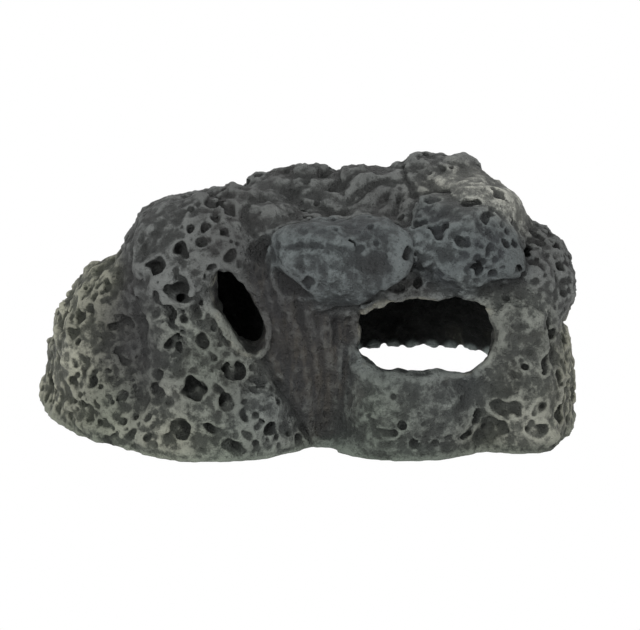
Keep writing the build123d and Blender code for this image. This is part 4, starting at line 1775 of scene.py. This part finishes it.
NAMED_PITS = [
    # shoulder and buttress
    Pit(-63, 80, 3.6, rim=1.8),
    Pit(-54, 73, 4.8),
    Pit(-58, 63, 2.8),
    Pit(-52, 59, 1.9),
    Pit(-56, 48, 4.2, stretch=1.2),
    Pit(-44, 51, 2.8),
    Pit(-31, 37, 5.0),
    Pit(-47, 32, 4.6, sink=0.2),
    Pit(-41, 36, 2.2),
    Pit(-34, 25, 4.2),
    Pit(-53, 14, 4.2),
    Pit(-41, 15, 3.4),
    # foot of the pillar
    Pit(-15, 29, 2.2),
    Pit(-16, 13, 3.0),
    Pit(-30, 6, 3.6, stretch=1.5),
    # shoulder
    Pit(-53, 88, 3.5),
    Pit(-68, 85, 2.6),
    Pit(-49, 95, 1.9),
    Pit(-31, 84, 4.2, sink=0.2, stretch=1.3),
    # outcrop
    Pit(-79, 49, 4.6, sink=0.1),
    Pit(-77, 36, 5.0, sink=0.1),
    Pit(-98, 50, 2.6),
    Pit(-104, 44, 2.1),
    Pit(-102, 22, 3.0),
    Pit(-101, 31, 2.5),
    # brow and cheek
    Pit(55, 97, 3.8),
    Pit(43, 91, 4.2, sink=0.2),
    Pit(22, 93, 3.6, sink=0.6, stretch=1.7),
    Pit(67, 94, 4.2),
    # knob
    Pit(94, 82, 4.0, sink=0.1),
    Pit(102, 79, 3.0),
    # right end and pier
    Pit(105, 47, 2.8),
    Pit(104, 39, 4.0, sink=0.2),
    Pit(110, 31, 3.0),
    Pit(100, 23, 3.5),
    Pit(98, 12, 3.2, stretch=1.3),
    Pit(86, 21, 3.6, stretch=1.7),
    Pit(74, 18, 2.8, stretch=1.6),
    Pit(84, 11, 3.0),
    Pit(70, 10, 2.4, stretch=1.6),
    Pit(60, 10, 2.0),
    # sill, and the right end's flank
    Pit(41, 17, 2.0),
    Pit(45, 8, 2.0),
    Pit(110, 16, 3.6, sink=0.1),
]

WASHES = [
    # painted shade in the scoop, round the pillar, in the brow and in the dips of the crown
    Wash(Tint.SOOT, -80, -24, 58, 16, 0.85),
    Wash(Tint.SOOT, -78, -28, 42, 19, 0.96),
    Wash(Tint.SOOT, -75, -36, 24, 14, 0.85),
    Wash(Tint.SOOT, -6, -44, 18, 8, 0.6),
    Wash(Tint.SOOT, 12, -48, 8, 9, 0.8),
    Wash(Tint.SOOT, -20, -34, 66, 11, 0.6),
    Wash(Tint.SOOT, -6, -36, 74, 11, 0.75),
    Wash(Tint.SOOT, 2, -38, 58, 10, 0.4),
    Wash(Tint.SOOT, -27, -26, 88, 9, 0.6),
    Wash(Tint.SOOT, 16, -46, 50, 7, 0.5),
    Wash(Tint.SOOT, 90, -22, 80, 9, 0.6),
    Wash(Tint.SOOT, 44, -38, 84, 6, 0.6),
    Wash(Tint.SOOT, 29, -42, 86, 8, 0.65),
    Wash(Tint.SOOT, 38, -2, 104, 12, 0.5),
    # green and yellow low down
    Wash(Tint.OLIVE, 108, -30, 10, 26),
    Wash(Tint.MOSS, 28, -50, 22, 16, 0.7),
    Wash(Tint.MOSS, 34, -52, 6, 22, 0.7),
    Wash(Tint.MOSS, -40, -50, 6, 18, 0.5),
    Wash(Tint.MOSS, -90, -36, 10, 18, 0.5),
    Wash(Tint.MOSS, -44, -48, 44, 14, 0.4),
    Wash(Tint.OLIVE, -60, -48, 4, 18, 0.7),
    Wash(Tint.OLIVE, 75, -44, 4, 16, 0.6),
    # other stones' paints, carried over a seam
    Wash(Tint.STREAKED, 14, -40, 30, 14, 0.7),
    Wash(Tint.BLUE_GREY, -20, -40, 20, 14, 0.6),
    Wash(Tint.GREY, 50, -46, 22, 26, 0.6),
    Wash(Tint.GREY, 96, -36, 45, 16, 0.6),
    # pale spots
    Wash(Tint.PALE, 72, 0, 106, 18, 0.7),
    Wash(Tint.PALE, -106, -20, 54, 8, 0.45),
    Wash(Tint.PALE, -112, -16, 38, 9, 0.4),
    Wash(Tint.PALE, -104, -30, 20, 8, 0.4),
    Wash(Tint.PALE, -62, -44, 50, 5, 0.3),
    Wash(Tint.PALE, -58, -48, 30, 6, 0.3),
    Wash(Tint.PALE, 96, -42, 14, 9, 0.4),
    Wash(Tint.PALE, 108, -30, 24, 8, 0.4),
]


def main() -> None:
    """Melts and weathers the rock, cuts out each stone, paints it and sets up the studio."""
    logging.basicConfig(level=logging.INFO, format="%(name)s: %(message)s")
    rock = Rock(STONES, frame["nodes"])
    rock.weather()
    rock.dent(DENTS)
    rock.break_off(FACETS)
    for pair in CRACKS:
        rock.crack(*pair)
    rock.score(SCORES)
    rock.place_named_pits(NAMED_PITS)
    rock.place_pits()
    rock.nick(NICKS)
    rock.lay_lip()
    rock.settle()
    rock.weigh_tints(WASHES)
    shop = PaintShop()
    worn = {stone.tint for stone in STONES}
    materials = {tint: shop.build(tint.value, paint) for tint, paint in PAINTS.items() if tint in worn}
    for number, stone in enumerate(STONES):
        piece = rock.cut_out(number)
        piece.data.materials.append(materials[stone.tint])
        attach(piece, BODY)
        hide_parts(stone.node)
        log.info("%s: %d faces", piece.name, len(piece.data.polygons))
    Studio().build()


if __name__ == "__main__":
    main()
